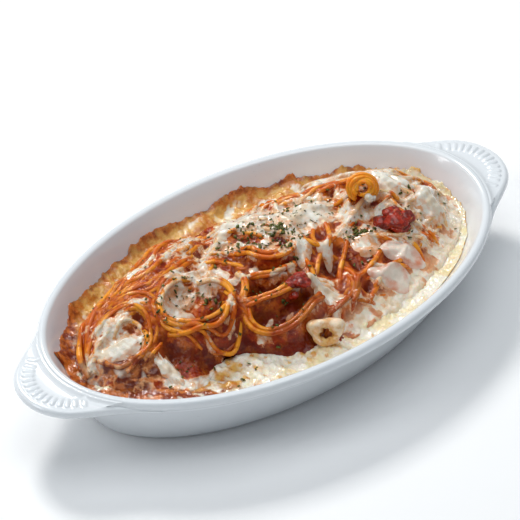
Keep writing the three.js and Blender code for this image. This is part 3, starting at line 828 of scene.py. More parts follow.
# Noodles with their stain and film of cheese. The cheese melted over the heap in soft ovals, each
# given as its middle, how far it reaches along and across, its turn, and how much lies there. Sauce
# takes it away in more ovals. The noodles are cooked wheat, dyed by the sauce and darkened with
# painted shade where they lie low; the low ones along the front get more painted shade.
cheese_spots = np.array([
    (-78, 6, 11, 7.5, -0.2, 1.0), (-74, -4, 5, 4, -0.8, 0.8), (-85, -9, 11, 8, -0.7, 1.2),
    (-72, -16, 7, 5, -0.3, 1.1), (-52, -3, 6, 9, -0.1, 0.75), (-44, 4, 7.5, 4.5, 0, 1.6),
    (-32, 5, 6, 9, 0.3, 1.0), (-36, 11.5, 10, 4.5, -0.1, 1.15), (-69, -19, 3.5, 8, 0.1, 1.0),
    (-47, 28, 7, 4, 0.2, 0.75), (-30, 24, 11, 5, 0.4, 0.8), (-16, 32, 9, 5, 0.3, 0.85),
    (-7, 16, 8, 8, -0.3, 0.9), (2, 7, 7, 4, 0, 1.1), (8, 26, 20, 11, 0.1, 1.05),
    (28, 15, 20, 10, -0.3, 0.95), (20, 4, 7, 5, 0, 1.2), (6, -4, 5, 7, 0.1, 0.9),
    (36, -6, 5.5, 4.5, 0, 1.2), (9, -25, 6.5, 7, 0.2, 1.0), (-8, -16, 7, 3, 0.1, 0.8),
    (40, -15, 7, 5, -0.6, 0.9), (58, 26, 16, 9, -0.5, 1.1), (65, 2, 9, 6, 0, 1.1),
    (52, -2, 5, 4, 0, 0.9), (74, 8, 15, 13, -1.0, 1.15), (70, -13, 7, 7, 0.3, 1.0),
    (84, -12, 11, 12, 1.0, 1.3), (53, -25, 7, 6, -0.69, 0.6), (40, -34, 10, 4, -0.3, 0.5),
    (56, -17, 13, 8, -0.6, 0.4), (38, -29, 5, 5, -0.4, 0.8), (70, -30, 11, 4, -0.8, 0.9),
    (8, -38, 12, 5, 0.1, 0.35), (-16, 20, 8, 5, 0.3, 0.9), (30, 3, 6, 4, 0.2, 0.9),
    (45, -10, 5, 4, 0, 0.8), (14, 12, 8, 5, 0, 1.0), (45, 0, 6, 5, 0, 1.2), (57, -6, 6, 3, -0.4, 1.1),
    (50, 10, 5, 4, 0, 0.9), (-3, 11, 5, 3, 0, 1.0), (4, -14, 5, 2.5, 0, 0.8),
    (36, -43, 16, 4, -0.2, 0.9), (12, -43, 12, 3, 0.05, 0.6), (25, 4, 6, 5, 0.3, 0.9),
    (-94, -1, 4, 9, 0, 1.1), (-69, 3, 3, 3, 0, 0.8), (-21, -26, 4, 1.8, 0.5, 2.2),
    (-12, -28.5, 3.5, 1.6, 0.1, 2.2), (-5, -24, 3, 2, 0.4, 2.0), (-33, -15, 3, 4, 0, 1.0),
    (-25, 4, 8, 5, 0.4, 2.0), (-19, -3, 3, 5, 0.6, 2.2), (-9, -4, 2.5, 4, 0.4, 2.2),
    (-28, 12, 6, 4, 0.3, 1.2), (1, -19, 3, 4, 0.2, 1.4), (-62, 10, 5, 2.5, -0.3, 1.0),
    (-81, -14, 7, 4, -0.7, 1.4), (-50, -29, 6, 4, 0, 1.4), (-58, -31, 9, 4.5, -0.5, 1.5),
    (-70, -24, 6, 3, -0.5, 0.9), (-38, -33, 5, 3.5, 0.1, 1.0)])
sauce_spots = np.array([
    (-13, -27, 14, 5.5, 0.05, 1.5), (-58, -22, 7, 6, 0.0, 1.3), (-68, -9, 4, 4, -0.3, 0.9),
    (18, -16, 7.5, 5, 0.0, 2.2), (36, -19, 4, 4, 0.0, 1.3), (43, -22, 4, 3, -0.4, 1.2),
    (58, -31, 9, 4, -0.5, 1.1), (44, -31, 6, 3, -0.3, 0.8), (-4, -5, 5, 4.5, 0, 1.5),
    (-39, -8.5, 8, 5, -0.2, 1.7), (61, -14, 6, 3, -0.5, 0.6), (28, -21, 8, 4, -0.5, 1.2),
    (44, -27, 10, 3, -0.4, 0.9), (59, -34, 6, 2.5, -0.5, 1.0), (20, -28, 2.8, 5, 0, 1.2),
    (-62, -8, 3, 14, 0, 1.0), (-21, -4, 5, 8, 0.3, 1.2), (-14, 7, 5, 4.5, 0.3, 1.4),
    (-27, -9, 3, 5, 0, 1.0), (31, -1, 5, 4, 0, 1.2), (25, 1, 3, 3, 0, 0.6), (22, 19, 5, 3, 0.4, 0.4),
    (-52, 19, 24, 4, 0.1, 1.0), (-3, 21, 3, 4, 0, 0.9), (48, 21, 5, 5, 0, 0.9), (7, -11, 4, 4, 0, 0.9),
    (-30, -22, 4.5, 6, 0, 1.4), (-12, -40, 12, 4, 0.05, 1.5)])


def spot_map(spots, x, y):
    """The most of some soft ovals: each falls from its amount in the middle to nothing beyond."""
    total = np.zeros(np.shape(x))
    for middle_x, middle_y, along, across, turn, amount in spots:
        u = (x - middle_x) * cos(turn) + (y - middle_y) * sin(turn)
        v = (y - middle_y) * cos(turn) - (x - middle_x) * sin(turn)
        away = np.sqrt((u / along) ** 2 + (v / across) ** 2)
        total = np.maximum(total, amount * (1 - smooth_step(away, 0.5, 1.3)))
    return total


def cheese_share(x, y):
    """How cheesy a place on the heap is, from below 0 for bare sauce to 1 for a thick patch."""
    return (spot_map(cheese_spots, x, y) - 0.85 * spot_map(sauce_spots, x, y) - 0.1
            + 0.2 * smooth_step(x, 10, 60) + 0.22 * cloud(x, y, 8, 71) + 0.2 * cloud(x, y, 3.6, 72))


# The same for the spots where the cheese has browned.
baked_spots = np.array([
    (-85, -10, 12, 8.5, -0.7, 1.4), (-74, -15, 9, 5, -0.3, 1.3), (-96, 4, 4, 9, 0, 0.9),
    (-60, -25, 4, 4, 0, 0.5)])


def baked_share(x, y):
    """How far the cheese has browned at a place, from 0 to about 1."""
    return spot_map(baked_spots, x, y) * (0.8 + 0.35 * cloud(x, y, 6, 79))


def noodle_finish(name, bright, deep, sauce=(0.42, 0.045, 0.006), glow=0.12):
    """Cooked wheat stained by tomato: translucent, wet, paler where cheese has run over it, and darker where
    it lies low, which is partly sauce stain and partly painted shade.
    """
    finish = Finish(name, Coat_Weight=0.22, Coat_Roughness=0.02, Specular_IOR_Level=0.2,
                    Subsurface_Radius=(1.0, 0.45, 0.15), Subsurface_Scale=0.0014)
    stain_and_shade = finish.blotched(8, 4, 0.38, 0.62, bright, deep)
    stain_and_shade = finish.mix(finish.patches(2.6, 4, 0.5, 0.7, 0, 0.75), stain_and_shade, sauce)
    # Darker red where the noodle lies low: partly sauce stain, partly painted shade.
    stain_and_shade = finish.mix(finish.amount("sunk", 0.85), stain_and_shade, (0.30, 0.030, 0.006))
    film = finish.math("ADD", finish.amount("cheese"), finish.patches(2.6, 4, 0.3, 0.7, -0.4, 0.25))
    film = finish.math("SUBTRACT", film, finish.amount("sunk", 0.5))
    film = finish.step(film, 0.3, 0.8)
    coat = finish.blotched(3.5, 3, 0.4, 0.6, (0.84, 0.68, 0.50), (0.78, 0.46, 0.22))
    toasted = finish.blotched(4, 4, 0.4, 0.6, (0.20, 0.03, 0.008), (0.56, 0.20, 0.055))
    coat = finish.mix(finish.step(finish.amount("baked"), 0.1, 0.7), coat, toasted)
    cheesy = finish.step(finish.amount("cheese"), 0.1, 0.7, 0.0, 0.6)
    # Cream specks where the cheese film lies: painted glare.
    painted_glare_specks = finish.math("MULTIPLY", finish.patches(1.1, 4, 0.5, 0.66),
                         finish.math("SUBTRACT", cheesy, finish.amount("baked")))
    return finish.feed(Base_Color=finish.mix(painted_glare_specks, finish.mix(film, stain_and_shade, coat), (0.90, 0.66, 0.44)),
                       Subsurface_Weight=finish.step(film, 0, 1, glow, 0.3),
                       Roughness=finish.shine(1.5, 0.08, 0.24),
                       Normal=finish.bump(finish.noise(1.0, 4), 0.26))


orange_noodle = noodle_finish("sauced_spaghetti", (0.90, 0.35, 0.022), (0.66, 0.13, 0.006))
heap_order = np.argsort([line[:, 0].mean() for line in noodle_lines])
for share, name in enumerate(("spaghetti_left", "spaghetti_middle", "spaghetti_right")):
    chosen = [k for place, k in enumerate(heap_order) if place * 3 // len(heap_order) == share]
    strand_points, strand_quads, strand_fans = sweep_noodles(
        [noodle_lines[k] for k in chosen], [noodle_radii[k] for k in chosen])
    strand_x, strand_y, strand_z = strand_points.T
    on_strand = smooth_step(cheese_share(strand_x, strand_y), -0.1, 0.7)
    # Points that lie low under the blurred heap are darkened, partly as sauce stain and partly as painted
    # shade; the noodles along the lower front are darkened with painted shade.
    below = read_map(blur_map(relief, 1.2), strand_x, strand_y) - strand_z
    painted_front_shade = smooth_step(-strand_y, 25, 33) * smooth_step(-abs(strand_x + 2), -34, -22)
    make_piece(name, strand_points, strand_quads, strand_fans, orange_noodle, "noodles",
               cheese=on_strand, sunk=np.maximum(smooth_step(below, -0.9, 1.2), 0.75 * painted_front_shade),
               baked=baked_share(strand_x, strand_y))


# Sauce and film of cheese between the noodles, as one melted surface over the heap. It lies low and
# dark red where sauce shows, and rises over the noodles as a cream film where cheese has run.
foot_near, foot_far = heap_feet(map_x)
from_foot = np.minimum(map_y - foot_near, foot_far - map_y)
foot_share = 1 - smooth_step(abs(from_foot + 0.5), 1.5, 6.5)
near_half = map_y < 0
bay = np.exp(-(((map_x + 60) / 8) ** 2)) * near_half
apron = 5 * bay * smooth_step(from_foot, -11, 1)
near_edge = (1 - smooth_step(from_foot, 2, 7)) * smooth_step(map_x, 5, 20) * near_half
film_share = cheese_share(map_x, map_y)
film_share = film_share + (0.05 + 0.5 * cloud(map_x, map_y, 5, 88)) * near_edge
film_share = film_share + foot_share * (1 - bay) * (
    0.1 + 0.8 * smooth_step(map_x, 5, 30) - 0.2 * (map_y > 0) + 0.5 * cloud(map_x, map_y, 9, 78))
crevice_thinning = 0.55
crevice = np.clip((blur_map(relief, 3.0) - relief) / 2.5, -0.3, 1.2)
film_share = film_share - crevice_thinning * crevice
film = smooth_step(film_share, 0.1, 0.65)
drowned = np.max([smooth_step(-abs(cloud(map_x, map_y, 13, seed)), -0.36, 0.0)
                  for seed in (90, 91, 92)], 0)
snug = blur_map(relief, 0.6)
slack = blur_map(relief, 1.5)
melt = ((0.75 * snug + 0.25 * slack - 0.05 + 0.6 * smooth_step(film_share, 0.55, 1.1)) * film
        + (slack - 0.5 + 0.25 * cloud(map_x, map_y, 5, 74) + 0.9 * drowned) * (1 - film))
melt = np.maximum(melt, bed_top(map_x, map_y) - 0.25 + apron)
melt = melt + foot_share * (blur_map(melt, 2.4) - melt)
ramp = (1 - smooth_step(abs(from_foot - 0.5), 2.5, 8)) * smooth_step(map_x, 0, 16) * near_half
ramp_spots = np.array([(-84, -11, 10, 6, -0.7, 1.0), (-72, -18, 6, 4, -0.3, 1.0)])
ramp = np.maximum(ramp, 0.9 * spot_map(ramp_spots, map_x, map_y))
melt = melt + ramp * (blur_map(np.maximum(relief, melt), 3.5) + 0.7 - melt)
melt = blur_map(melt, 0.45) + 0.1 * cloud(map_x, map_y, 2.1, 75) + 0.18 * film * cloud(map_x, map_y, 4, 76)
surface = np.maximum(relief, melt)

melt_rows, melt_columns = 400, 190
melt_x = np.linspace(-heap_left - 3, heap_right + 2.5, melt_rows)[:, None]
melt_share = np.linspace(0, 1, melt_columns)
melt_near, melt_far = heap_feet(melt_x)
melt_near = melt_near - 5 - 7 * np.exp(-(((melt_x + 59) / 11) ** 2))
melt_width = melt_far + 5 - melt_near
melt_y = melt_near + melt_width * melt_share
melt_x = melt_x + 0 * melt_y
melt_z = read_map(melt, melt_x, melt_y)
melt_rim = np.minimum(np.minimum(melt_share, 1 - melt_share) * melt_width,
                      (from_ends(melt_rows) * 0.5)[:, None])
melt_z = melt_z - 3.0 * (1 - smooth_step(melt_rim, 0, 4.0 + 1.2 * cloud(melt_x, melt_y, 7, 77)))
margin = np.concatenate([np.arange(melt_columns),
                         np.arange(1, melt_rows) * melt_columns + melt_columns - 1,
                         (melt_rows - 1) * melt_columns + np.arange(melt_columns - 2, -1, -1),
                         np.arange(melt_rows - 2, 0, -1) * melt_columns])
melt_points = np.stack([melt_x, melt_y, melt_z], -1).reshape(-1, 3)
skirt_level = bed_level - 6
skirt = melt_points[margin] * [1, 1, 0] + [0, 0, skirt_level]
melt_points = np.concatenate([melt_points, skirt, [[0, 0, skirt_level]]])
skirt_first = melt_rows * melt_columns
around = np.arange(len(margin))
skirt_quads = np.stack([margin, np.roll(margin, -1), skirt_first + (around + 1) % len(margin),
                        skirt_first + around], -1)
melt_quads = np.concatenate([grid_faces(melt_rows, melt_columns, False)[:, ::-1], skirt_quads[:, ::-1]])
melt_fan = fan_faces(skirt_first, len(margin), len(melt_points) - 1, True)
melt_cheese = np.concatenate([read_map(film_share, melt_x, melt_y).ravel(), np.zeros(len(margin) + 1)])


def on_melt(values):
    """A map's values, read at the points of the melted surface."""
    return read_map(values, melt_points[:, 0], melt_points[:, 1])


melt_finish = Finish("sauce_and_cheese_film", Coat_Roughness=0.03, Specular_IOR_Level=0.2,
                     Subsurface_Radius=(1.0, 0.5, 0.25), Subsurface_Scale=0.002)
red_sauce = melt_finish.blotched(5, 4, 0.35, 0.65, (0.42, 0.042, 0.005), (0.19, 0.012, 0.002))
red_sauce = melt_finish.blotched(3.5, 4, 0.48, 0.66, red_sauce, (0.58, 0.13, 0.012))
pooled = melt_finish.math("MULTIPLY", melt_finish.amount("drowned"),
                          melt_finish.patches(6, 3, 0.4, 0.6, 0.2, 0.85))
red_sauce = melt_finish.mix(pooled, red_sauce, (0.66, 0.16, 0.012))
# Near black where the surface lies in a hollow: painted shade.
red_sauce = melt_finish.mix(melt_finish.amount("dell", 0.7), red_sauce, (0.08, 0.005, 0.001))
cream = melt_finish.blotched(4, 4, 0.42, 0.62, (0.83, 0.77, 0.66), (0.73, 0.41, 0.21))
crusty = melt_finish.blotched(5, 4, 0.4, 0.62, (0.13, 0.016, 0.004), (0.46, 0.14, 0.034))
cream = melt_finish.mix(melt_finish.step(melt_finish.amount("baked"), 0.15, 0.75), cream, crusty)
milky_foot = melt_finish.blotched(5, 4, 0.4, 0.6, (0.84, 0.77, 0.64), (0.78, 0.62, 0.42))
cream = melt_finish.mix(melt_finish.amount("foot"), cream, milky_foot)
pink_edge = melt_finish.blotched(3, 3, 0.35, 0.65, (0.66, 0.20, 0.05), (0.78, 0.42, 0.20))
film_level = melt_finish.math("ADD", melt_finish.amount("cheese"),
                              melt_finish.patches(1.8, 4, 0.3, 0.7, -0.18, 0.18))
covered = melt_finish.math("MAXIMUM", melt_finish.step(film_level, 0.0, 0.36),
                           melt_finish.amount("foot", 0.85))
whole = melt_finish.math("MAXIMUM", melt_finish.step(film_level, 0.26, 0.72),
                         melt_finish.amount("foot", 0.15))
melt_colour = melt_finish.mix(covered, red_sauce, pink_edge)
# Cream specks over the cheesy film: painted glare.
painted_glare_specks = melt_finish.math("MULTIPLY", melt_finish.patches(1.1, 4, 0.5, 0.66),
                          melt_finish.math("SUBTRACT", melt_finish.step(film_level, 0.04, 0.4, 0.0, 0.7),
                                           melt_finish.amount("baked")))
melt_colour = melt_finish.mix(painted_glare_specks, melt_finish.mix(whole, melt_colour, cream), (0.86, 0.66, 0.52))
melt_finish.feed(Base_Color=melt_colour,
                 Subsurface_Weight=melt_finish.step(covered, 0, 1, 0.02, 0.25),
                 Coat_Weight=melt_finish.step(covered, 0, 1, 0.14, 0.5),
                 Roughness=melt_finish.shine(2, 0.07, 0.24),
                 Normal=melt_finish.bump(melt_finish.noise(1.2, 3, 0.4), 0.4, melt_finish.bump(
                     melt_finish.noise(3.2, 2, 0.4), 0.8)))
melted = make_piece("sauce_and_cheese_film", melt_points, melt_quads, melt_fan, melt_finish.material,
                    "noodles", cheese=melt_cheese, baked=baked_share(melt_points[:, 0], melt_points[:, 1]),
                    foot=0.9 * on_melt(ramp * (map_x > 0)),
                    dell=on_melt(smooth_step(blur_map(surface, 3.5) - surface, -0.2, 1.6)),
                    drowned=on_melt(drowned * smooth_step(from_foot, 0, 4)))
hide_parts("noodle_heap")


# Thick cheese: pieces of fresh cheese that melted where they lay, thick in the middle, thin and
# stained with sauce at the edge, drawn out into lobes and drips down the heap.
cheese_finish = Finish("melted_fresh_cheese", Coat_Weight=0.6, Coat_Roughness=0.04, IOR=1.42,
                       Subsurface_Radius=(1.0, 0.8, 0.6), Subsurface_Scale=0.003)
milky = cheese_finish.blotched(6, 4, 0.4, 0.65, (0.84, 0.80, 0.70), (0.76, 0.61, 0.43))
stain_and_shade_colour = cheese_finish.blotched(3, 3, 0.35, 0.65, (0.76, 0.32, 0.11), (0.84, 0.58, 0.42))
# Stain grows towards the edge of each piece; on the piece in the hollow the extra stain is painted shade.
stain_and_shade_level = cheese_finish.math("ADD", cheese_finish.amount("edge"),
                                 cheese_finish.patches(2.4, 4, 0.3, 0.7, -0.45, 0.35))
stain_and_shade_share = cheese_finish.step(stain_and_shade_level, 0.4, 1.1)
cheese_finish.feed(Base_Color=cheese_finish.mix(stain_and_shade_share, milky, stain_and_shade_colour),
                   Subsurface_Weight=cheese_finish.step(stain_and_shade_share, 0, 1, 0.4, 0.25),
                   Roughness=cheese_finish.shine(2.5, 0.09, 0.28),
                   Normal=cheese_finish.bump(cheese_finish.noise(0.8, 4), 0.12, cheese_finish.bump(
                       cheese_finish.noise(2.8, 3), 0.35)))


def drape_piece(name, node, along, across, turn, thick, lobes, seed, round_edge=0.5, material=None,
                node_slot="cheese", roughness=0.12, stain_and_shade=0.0):
    """Closed lens laid over the heap: rings from its middle to a lobed outline. Its top stands over
    the blurred surface by a thickness that falls off from round_edge outwards; its underside lies
    just below the surface. Its edge value grows from stain in the middle to 1 more at the outline;
    that stain is sauce stain on most pieces and painted shade on the piece in the hollow."""
    dice = np.random.default_rng(seed)
    low, high = (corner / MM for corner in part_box(node))
    middle = ((low.x + high.x) / 2, (low.y + high.y) / 2)
    rings, spokes = 30, 96
    angle = np.linspace(0, 2 * pi, spokes, endpoint=False)
    reach = 1 + lobes[1] * np.sin(lobes[0] * angle + dice.uniform(0, 6))
    for wave in (2, 3, 5, 7, 11):
        reach = reach + 0.16 / wave**0.8 * dice.normal() * np.sin(wave * angle + dice.uniform(0, 6))
    ring = np.linspace(0.02, 1, rings)[:, None]
    x, y = turned(middle, along * ring * reach * np.cos(angle), across * ring * reach * np.sin(angle),
                  turn)
    base = read_map(soft_surface, x, y)
    body = 1 - smooth_step(ring, round_edge, 1.04)
    sunk_edge, depth_below = 0.3, 1.6
    top = (base + (thick + sunk_edge) * body ** 0.7 - sunk_edge
           + roughness * thick * cloud(x, y, 3.2, seed) * body)
    underside = read_map(soft_surface, x[-1], y[-1]) - depth_below
    points = np.concatenate([np.stack([x, y, top], -1).reshape(-1, 3),
                             np.stack([x[-1], y[-1], underside], -1),
                             [[x[0].mean(), y[0].mean(), top[0].mean()],
                              [x[-1].mean(), y[-1].mean(), underside.min() - 0.5]]])
    quads, fans = capped_faces(rings + 1, spokes, flip=True)
    edge = np.concatenate([(ring ** 1.5 + stain_and_shade + 0 * x).ravel(), np.ones(spokes), [stain_and_shade, 1]])
    piece = make_piece(name, points, quads, fans, material or cheese_finish.material, node_slot, edge=edge)
    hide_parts(node)
    return piece


soft_surface = 0.6 * blur_map(surface, 0.6) + 0.4 * blur_map(surface, 1.6)
for name, along, across, turn, thick, lobes, seed, stain_and_shade in (
        ("cheese_left", 9.6, 5.0, -0.4, 1.1, (3, 0.16), 101, 0),
        ("cheese_tongue", 8, 3.2, -1.5, 1.3, (2, 0.1), 102, 0),
        ("cheese_nest", 8, 6.2, -0.4, 1.1, (3, 0.12), 103, 0.25),
        ("cheese_crest", 17, 5.5, 0.25, 0.8, (4, 0.2), 104, 0),
        ("cheese_middle", 15, 8.5, -0.4, 1.0, (4, 0.12), 105, 0),
        ("cheese_drip_left", 8.2, 4.2, 1.05, 1.0, (2, 0.06), 106, 0.25),
        ("cheese_drip_right", 5.0, 3.6, 0.8, 0.9, (3, 0.08), 107, 0.3),
        ("cheese_front", 9.5, 4.4, -1.2, 1.2, (3, 0.18), 108, 0),
        # The piece in the hollow is given more stain than the rest: its darker colour is painted shade.
        ("cheese_hollow", 7, 5, -0.69, 0.8, (3, 0.12), 109, 0.5),
        ("cheese_far", 11, 6, -1.1, 1.0, (3, 0.18), 110, 0),
        ("cheese_right", 12, 7, 1.05, 1.6, (3, 0.12), 111, 0)):
    drape_piece("melted_" + name, name, along, across, turn, thick, lobes, seed, stain_and_shade=stain_and_shade)


# Ham: two thin slices of cooked ham, pink meat, that slid down the near right of the heap. Melted
# cheese ran over them and holds them there; it thins towards their edges.
ham_finish = Finish("cooked_ham", Coat_Weight=0.5, Coat_Roughness=0.08, IOR=1.42,
                    Subsurface_Radius=(1.0, 0.5, 0.4), Subsurface_Scale=0.002)
ham_pink = ham_finish.blotched(5, 4, 0.4, 0.6, (0.76, 0.42, 0.31), (0.66, 0.25, 0.14))
ham_cheese = ham_finish.step(ham_finish.math("SUBTRACT", ham_finish.noise(7, 4),
                                             ham_finish.amount("edge", 0.12)), 0.24, 0.52)
ham_finish.feed(Base_Color=ham_finish.mix(ham_cheese, ham_pink, (0.80, 0.69, 0.58)),
                Subsurface_Weight=ham_finish.step(ham_cheese, 0, 1, 0.2, 0.35),
                Roughness=ham_finish.shine(2.5, 0.14, 0.36),
                Normal=ham_finish.bump(ham_finish.noise(1.6, 4), 0.16))
for name, along, across, turn, seed in (("ham_side", 9.5, 5.5, -0.69, 121), ("ham_front", 9.5, 5, -0.6, 122)):
    drape_piece("slice_of_" + name, name, along, across, turn, 1.1, (3, 0.12), seed, 0.72,
                ham_finish.material, "ham", 0.08)


# Tomato: two clusters of stewed tomato, soft wet red flesh without its skin. Each is a few lumpy
# chunks that have run together and lie half sunk in the heap.
tomato_finish = Finish("stewed_tomato", Coat_Weight=0.5, Coat_Roughness=0.03, Specular_IOR_Level=0.3,
                       Subsurface_Radius=(1.0, 0.3, 0.15), Subsurface_Scale=0.002)
tomato_red = tomato_finish.blotched(3, 4, 0.38, 0.62, (0.44, 0.024, 0.005), (0.16, 0.007, 0.002))
tomato_finish.feed(Base_Color=tomato_finish.blotched(1.6, 3, 0.62, 0.72, tomato_red, (0.72, 0.22, 0.06)),
                   Subsurface_Weight=tomato_finish.patches(4, 3, 0.3, 0.7, 0.1, 0.3),
                   Roughness=tomato_finish.shine(1.8, 0.1, 0.3),
                   Normal=tomato_finish.bump(tomato_finish.noise(0.9, 4), 0.5, tomato_finish.bump(
                       tomato_finish.noise(2.4, 3), 0.6)))


def lumpy_ball(middle, across, turn, seed, dents=0.16, rings=40, spokes=64):
    """Closed lump: a turned ellipsoid whose radius swells and dents with waves in three directions."""
    dice = np.random.default_rng(seed)
    tilt = np.linspace(0, pi, rings + 2)[1:-1, None]
    angle = np.linspace(0, 2 * pi, spokes, endpoint=False)
    ball = np.stack([np.sin(tilt) * np.cos(angle), np.sin(tilt) * np.sin(angle),
                     np.cos(tilt) + 0 * angle], -1)
    ball = np.concatenate([ball.reshape(-1, 3), [[0, 0, 1], [0, 0, -1]]])
    swell = np.ones(len(ball))
    for wave in (2.5, 4, 6, 9):
        for _ in range(3):
            direction = dice.normal(0, 1, 3)
            direction /= np.linalg.norm(direction)
            swell += dents * 1.3 / wave * np.sin(wave * ball @ direction + dice.uniform(0, 6))
    u, v, w = (ball * swell[:, None] * across).T
    points = np.column_stack([*turned(middle, u, v, turn), middle[2] + w])
    return points, *capped_faces(rings, spokes, flip=True)


def joined(parts):
    """Several (points, quads, triangles) as one, with the faces renumbered."""
    first = np.cumsum([0] + [len(points) for points, _, _ in parts])
    return (np.concatenate([points for points, _, _ in parts]),
            np.concatenate([quads + start for (_, quads, _), start in zip(parts, first)]),
            np.concatenate([fans + start for (_, _, fans), start in zip(parts, first)]))


# Each chunk: how far it lies from the middle of its node, how long, how wide and how tall it is.
tomato_chunks = (
    ("tomato_front", ((0, 0, 4.6, 3.6, 2.6), (3.4, 2.2, 3.0, 2.4, 1.8), (-3.5, -1.6, 2.4, 2.2, 1.6))),
    ("tomato_right", ((0, 0, 5.4, 5.2, 3.2), (5.2, -2.6, 3.8, 3.6, 2.4), (-4.4, 3.4, 3.6, 3.6, 2.4),
                      (0.6, -4.2, 4.2, 3.4, 2.2), (1.8, 2.8, 4.4, 3.4, 2.6))))
chunk_turn, chunk_stands_out = -0.69, 0.25
for name, chunks in tomato_chunks:
    low, high = (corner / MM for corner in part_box(name))
    parts = []
    for k, (off_x, off_y, along, across, tall) in enumerate(chunks):
        x, y = (low.x + high.x) / 2 + off_x, (low.y + high.y) / 2 + off_y
        z = float(read_map(soft_surface, np.array(x), np.array(y))) + chunk_stands_out * tall
        parts.append(lumpy_ball((x, y, z), (along, across, tall), chunk_turn, 130 + k))
    chunk_points, chunk_quads, chunk_fans = joined(parts)
    chunk = make_piece("stewed_" + name, chunk_points, chunk_quads, chunk_fans, tomato_finish.material,
                       "tomato")
    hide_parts(name)


# Curl: the ends of eight noodles wound into a tight arch on top of the heap, cooked pasta bright
# orange with oil. It is set into the heap at both feet; a small bead of cheese melted before it.
def box_middle(node):
    """Middle of a node's box, in millimetres."""
    low, high = (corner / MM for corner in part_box(node))
    return np.array((low + high) / 2)


def arch(middle, reach, forward, yaw, pitch, start, end, seed):
    """Noodle in an arch about a ring's axis, from one angle to another in degrees, with a slow
    wobble of its distance and of its place along the axis."""
    dice = np.random.default_rng(seed)
    t = np.radians(np.linspace(start, end, 70))
    out = reach * (1 + 0.05 * np.sin(2 * t + dice.uniform(0, 6)))
    w = forward + 0.5 * np.sin(1.6 * t + dice.uniform(0, 6))
    bent = np.column_stack([1.05 * out * np.cos(t), 0.95 * out * np.sin(t), w])
    return middle + bent @ ring_axes(yaw, pitch)


def ring_axes(yaw, pitch):
    """A ring's level direction, its upward direction and its axis, which faces yaw and looks up."""
    axis = np.array([cos(pitch) * cos(yaw), cos(pitch) * sin(yaw), sin(pitch)])
    level = np.array([-sin(yaw), cos(yaw), 0])
    return np.stack([level, np.cross(axis, level), axis])


curl_noodle = noodle_finish("oily_spaghetti", (0.98, 0.37, 0.022), (0.95, 0.27, 0.012),
                            (0.86, 0.19, 0.010), 0.45)
curl_middle = box_middle("noodle_curl")
curl_yaw, curl_pitch = -2.1, 0.55
# Each arch: how far out it runs, how far forward, and the angles where it starts and ends.
curl_arches = ((5.9, -0.2, 235, -40), (4.9, 1.0, 228, -60), (3.8, 1.9, 220, -95), (2.9, 2.5, 200, -120),
               (5.6, -2.0, 240, -25), (4.4, -1.2, 230, -60), (3.2, -0.6, 225, -130), (5.2, -3.6, 240, -10))
curl_lines = [arch(curl_middle, reach, forward, curl_yaw, curl_pitch, start, end, 160 + k)
              for k, (reach, forward, start, end) in enumerate(curl_arches)]
curl_radii = (1.05, 1.0, 0.95, 0.9, 1.05, 1.0, 1.0, 1.05)
curl_points, curl_quads, curl_fans = sweep_noodles(curl_lines, curl_radii, 10)
curl = make_piece("spaghetti_curl", curl_points, curl_quads, curl_fans, curl_noodle, "noodles",
                  cheese=np.full(len(curl_points), -0.2))
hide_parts("noodle_curl")
bead_points, bead_quads, bead_fans = joined([
    lumpy_ball(curl_middle + [-0.2, -4.6, -2.6], (2.3, 1.8, 1.9), 0.3, 171, rings=16, spokes=28),
    lumpy_ball(curl_middle + [2.2, -4.2, -3.4], (1.8, 1.5, 1.4), 0.9, 172, rings=16, spokes=28)])
make_piece("bead_of_melted_cheese", bead_points, bead_quads, bead_fans, cheese_finish.material, "cheese",
           edge=np.zeros(len(bead_points)))


# Cheesy loop: a noodle bent into a small ring that stands up at the near edge of the heap, pasta
# coated thick with melted cheese, which also holds it there. Its tube swells at two ears on top.
loop_middle = box_middle("cheese_loop")
loop_around, loop_sides = 120, 36
loop_turn = np.linspace(0, 2 * pi, loop_around, endpoint=False)[:, None]
loop_section = np.linspace(0, 2 * pi, loop_sides, endpoint=False)
loop_yaw, loop_pitch = -2.2, 0.5
ear_width = 0.4
ears = np.exp(-(((loop_turn - 2.5) / ear_width) ** 2)) + np.exp(-(((loop_turn - 0.7) / ear_width) ** 2))
tube = 1.9 + 1.1 * ears + 0.3 * np.sin(loop_turn + 0.3) + 0.2 * np.sin(5 * loop_turn) + (
    0.25 * np.sin(2 * loop_section + 3 * loop_turn) + 0.15 * np.sin(7 * loop_turn + 3 * loop_section))
loop_out = 4.0 + 0.9 * ears + tube * np.cos(loop_section)
loop_u, loop_v = loop_out * np.cos(loop_turn) * 1.15, loop_out * np.sin(loop_turn)
loop_w = 1.15 * tube * np.sin(loop_section)
loop_points = np.stack([loop_u, loop_v, loop_w], -1).reshape(-1, 3)
loop_points = loop_middle + loop_points @ ring_axes(loop_yaw, loop_pitch)
ring_quads = (grid_faces(loop_around + 1, loop_sides, True) % (loop_around * loop_sides))[:, ::-1]
loop_edge = (0.62 - 0.3 * np.sin(loop_turn) + 0.6 * smooth_step(-np.cos(loop_section), 0.2, 1.0)
             + 0 * loop_section).ravel()
coated_noodle = noodle_finish("cheese_coated_noodle", (0.80, 0.52, 0.20), (0.66, 0.34, 0.09))
coated_loop = make_piece("cheesy_loop", loop_points, ring_quads, None, coated_noodle, "cheese",
                         cheese=1.35 - loop_edge)
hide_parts("cheese_loop")


# Parsley: flakes of dried green herb, strewn by hand over the baked heap, most of them over its
# middle. Each is a thin scale with six uneven corners that leans a little and sticks where it fell.
parsley_finish = Finish("dried_parsley", Roughness=0.6, Specular_IOR_Level=0.25, Subsurface_Weight=0.1,
                        Subsurface_Radius=(0.4, 0.8, 0.2), Subsurface_Scale=0.0006)
dark_green, light_green = (0.050, 0.062, 0.010), (0.16, 0.16, 0.035)
parsley_finish.feed(Base_Color=parsley_finish.blotched(2.5, 3, 0.35, 0.65, dark_green, light_green),
                    Normal=parsley_finish.bump(parsley_finish.noise(0.5), 0.05))
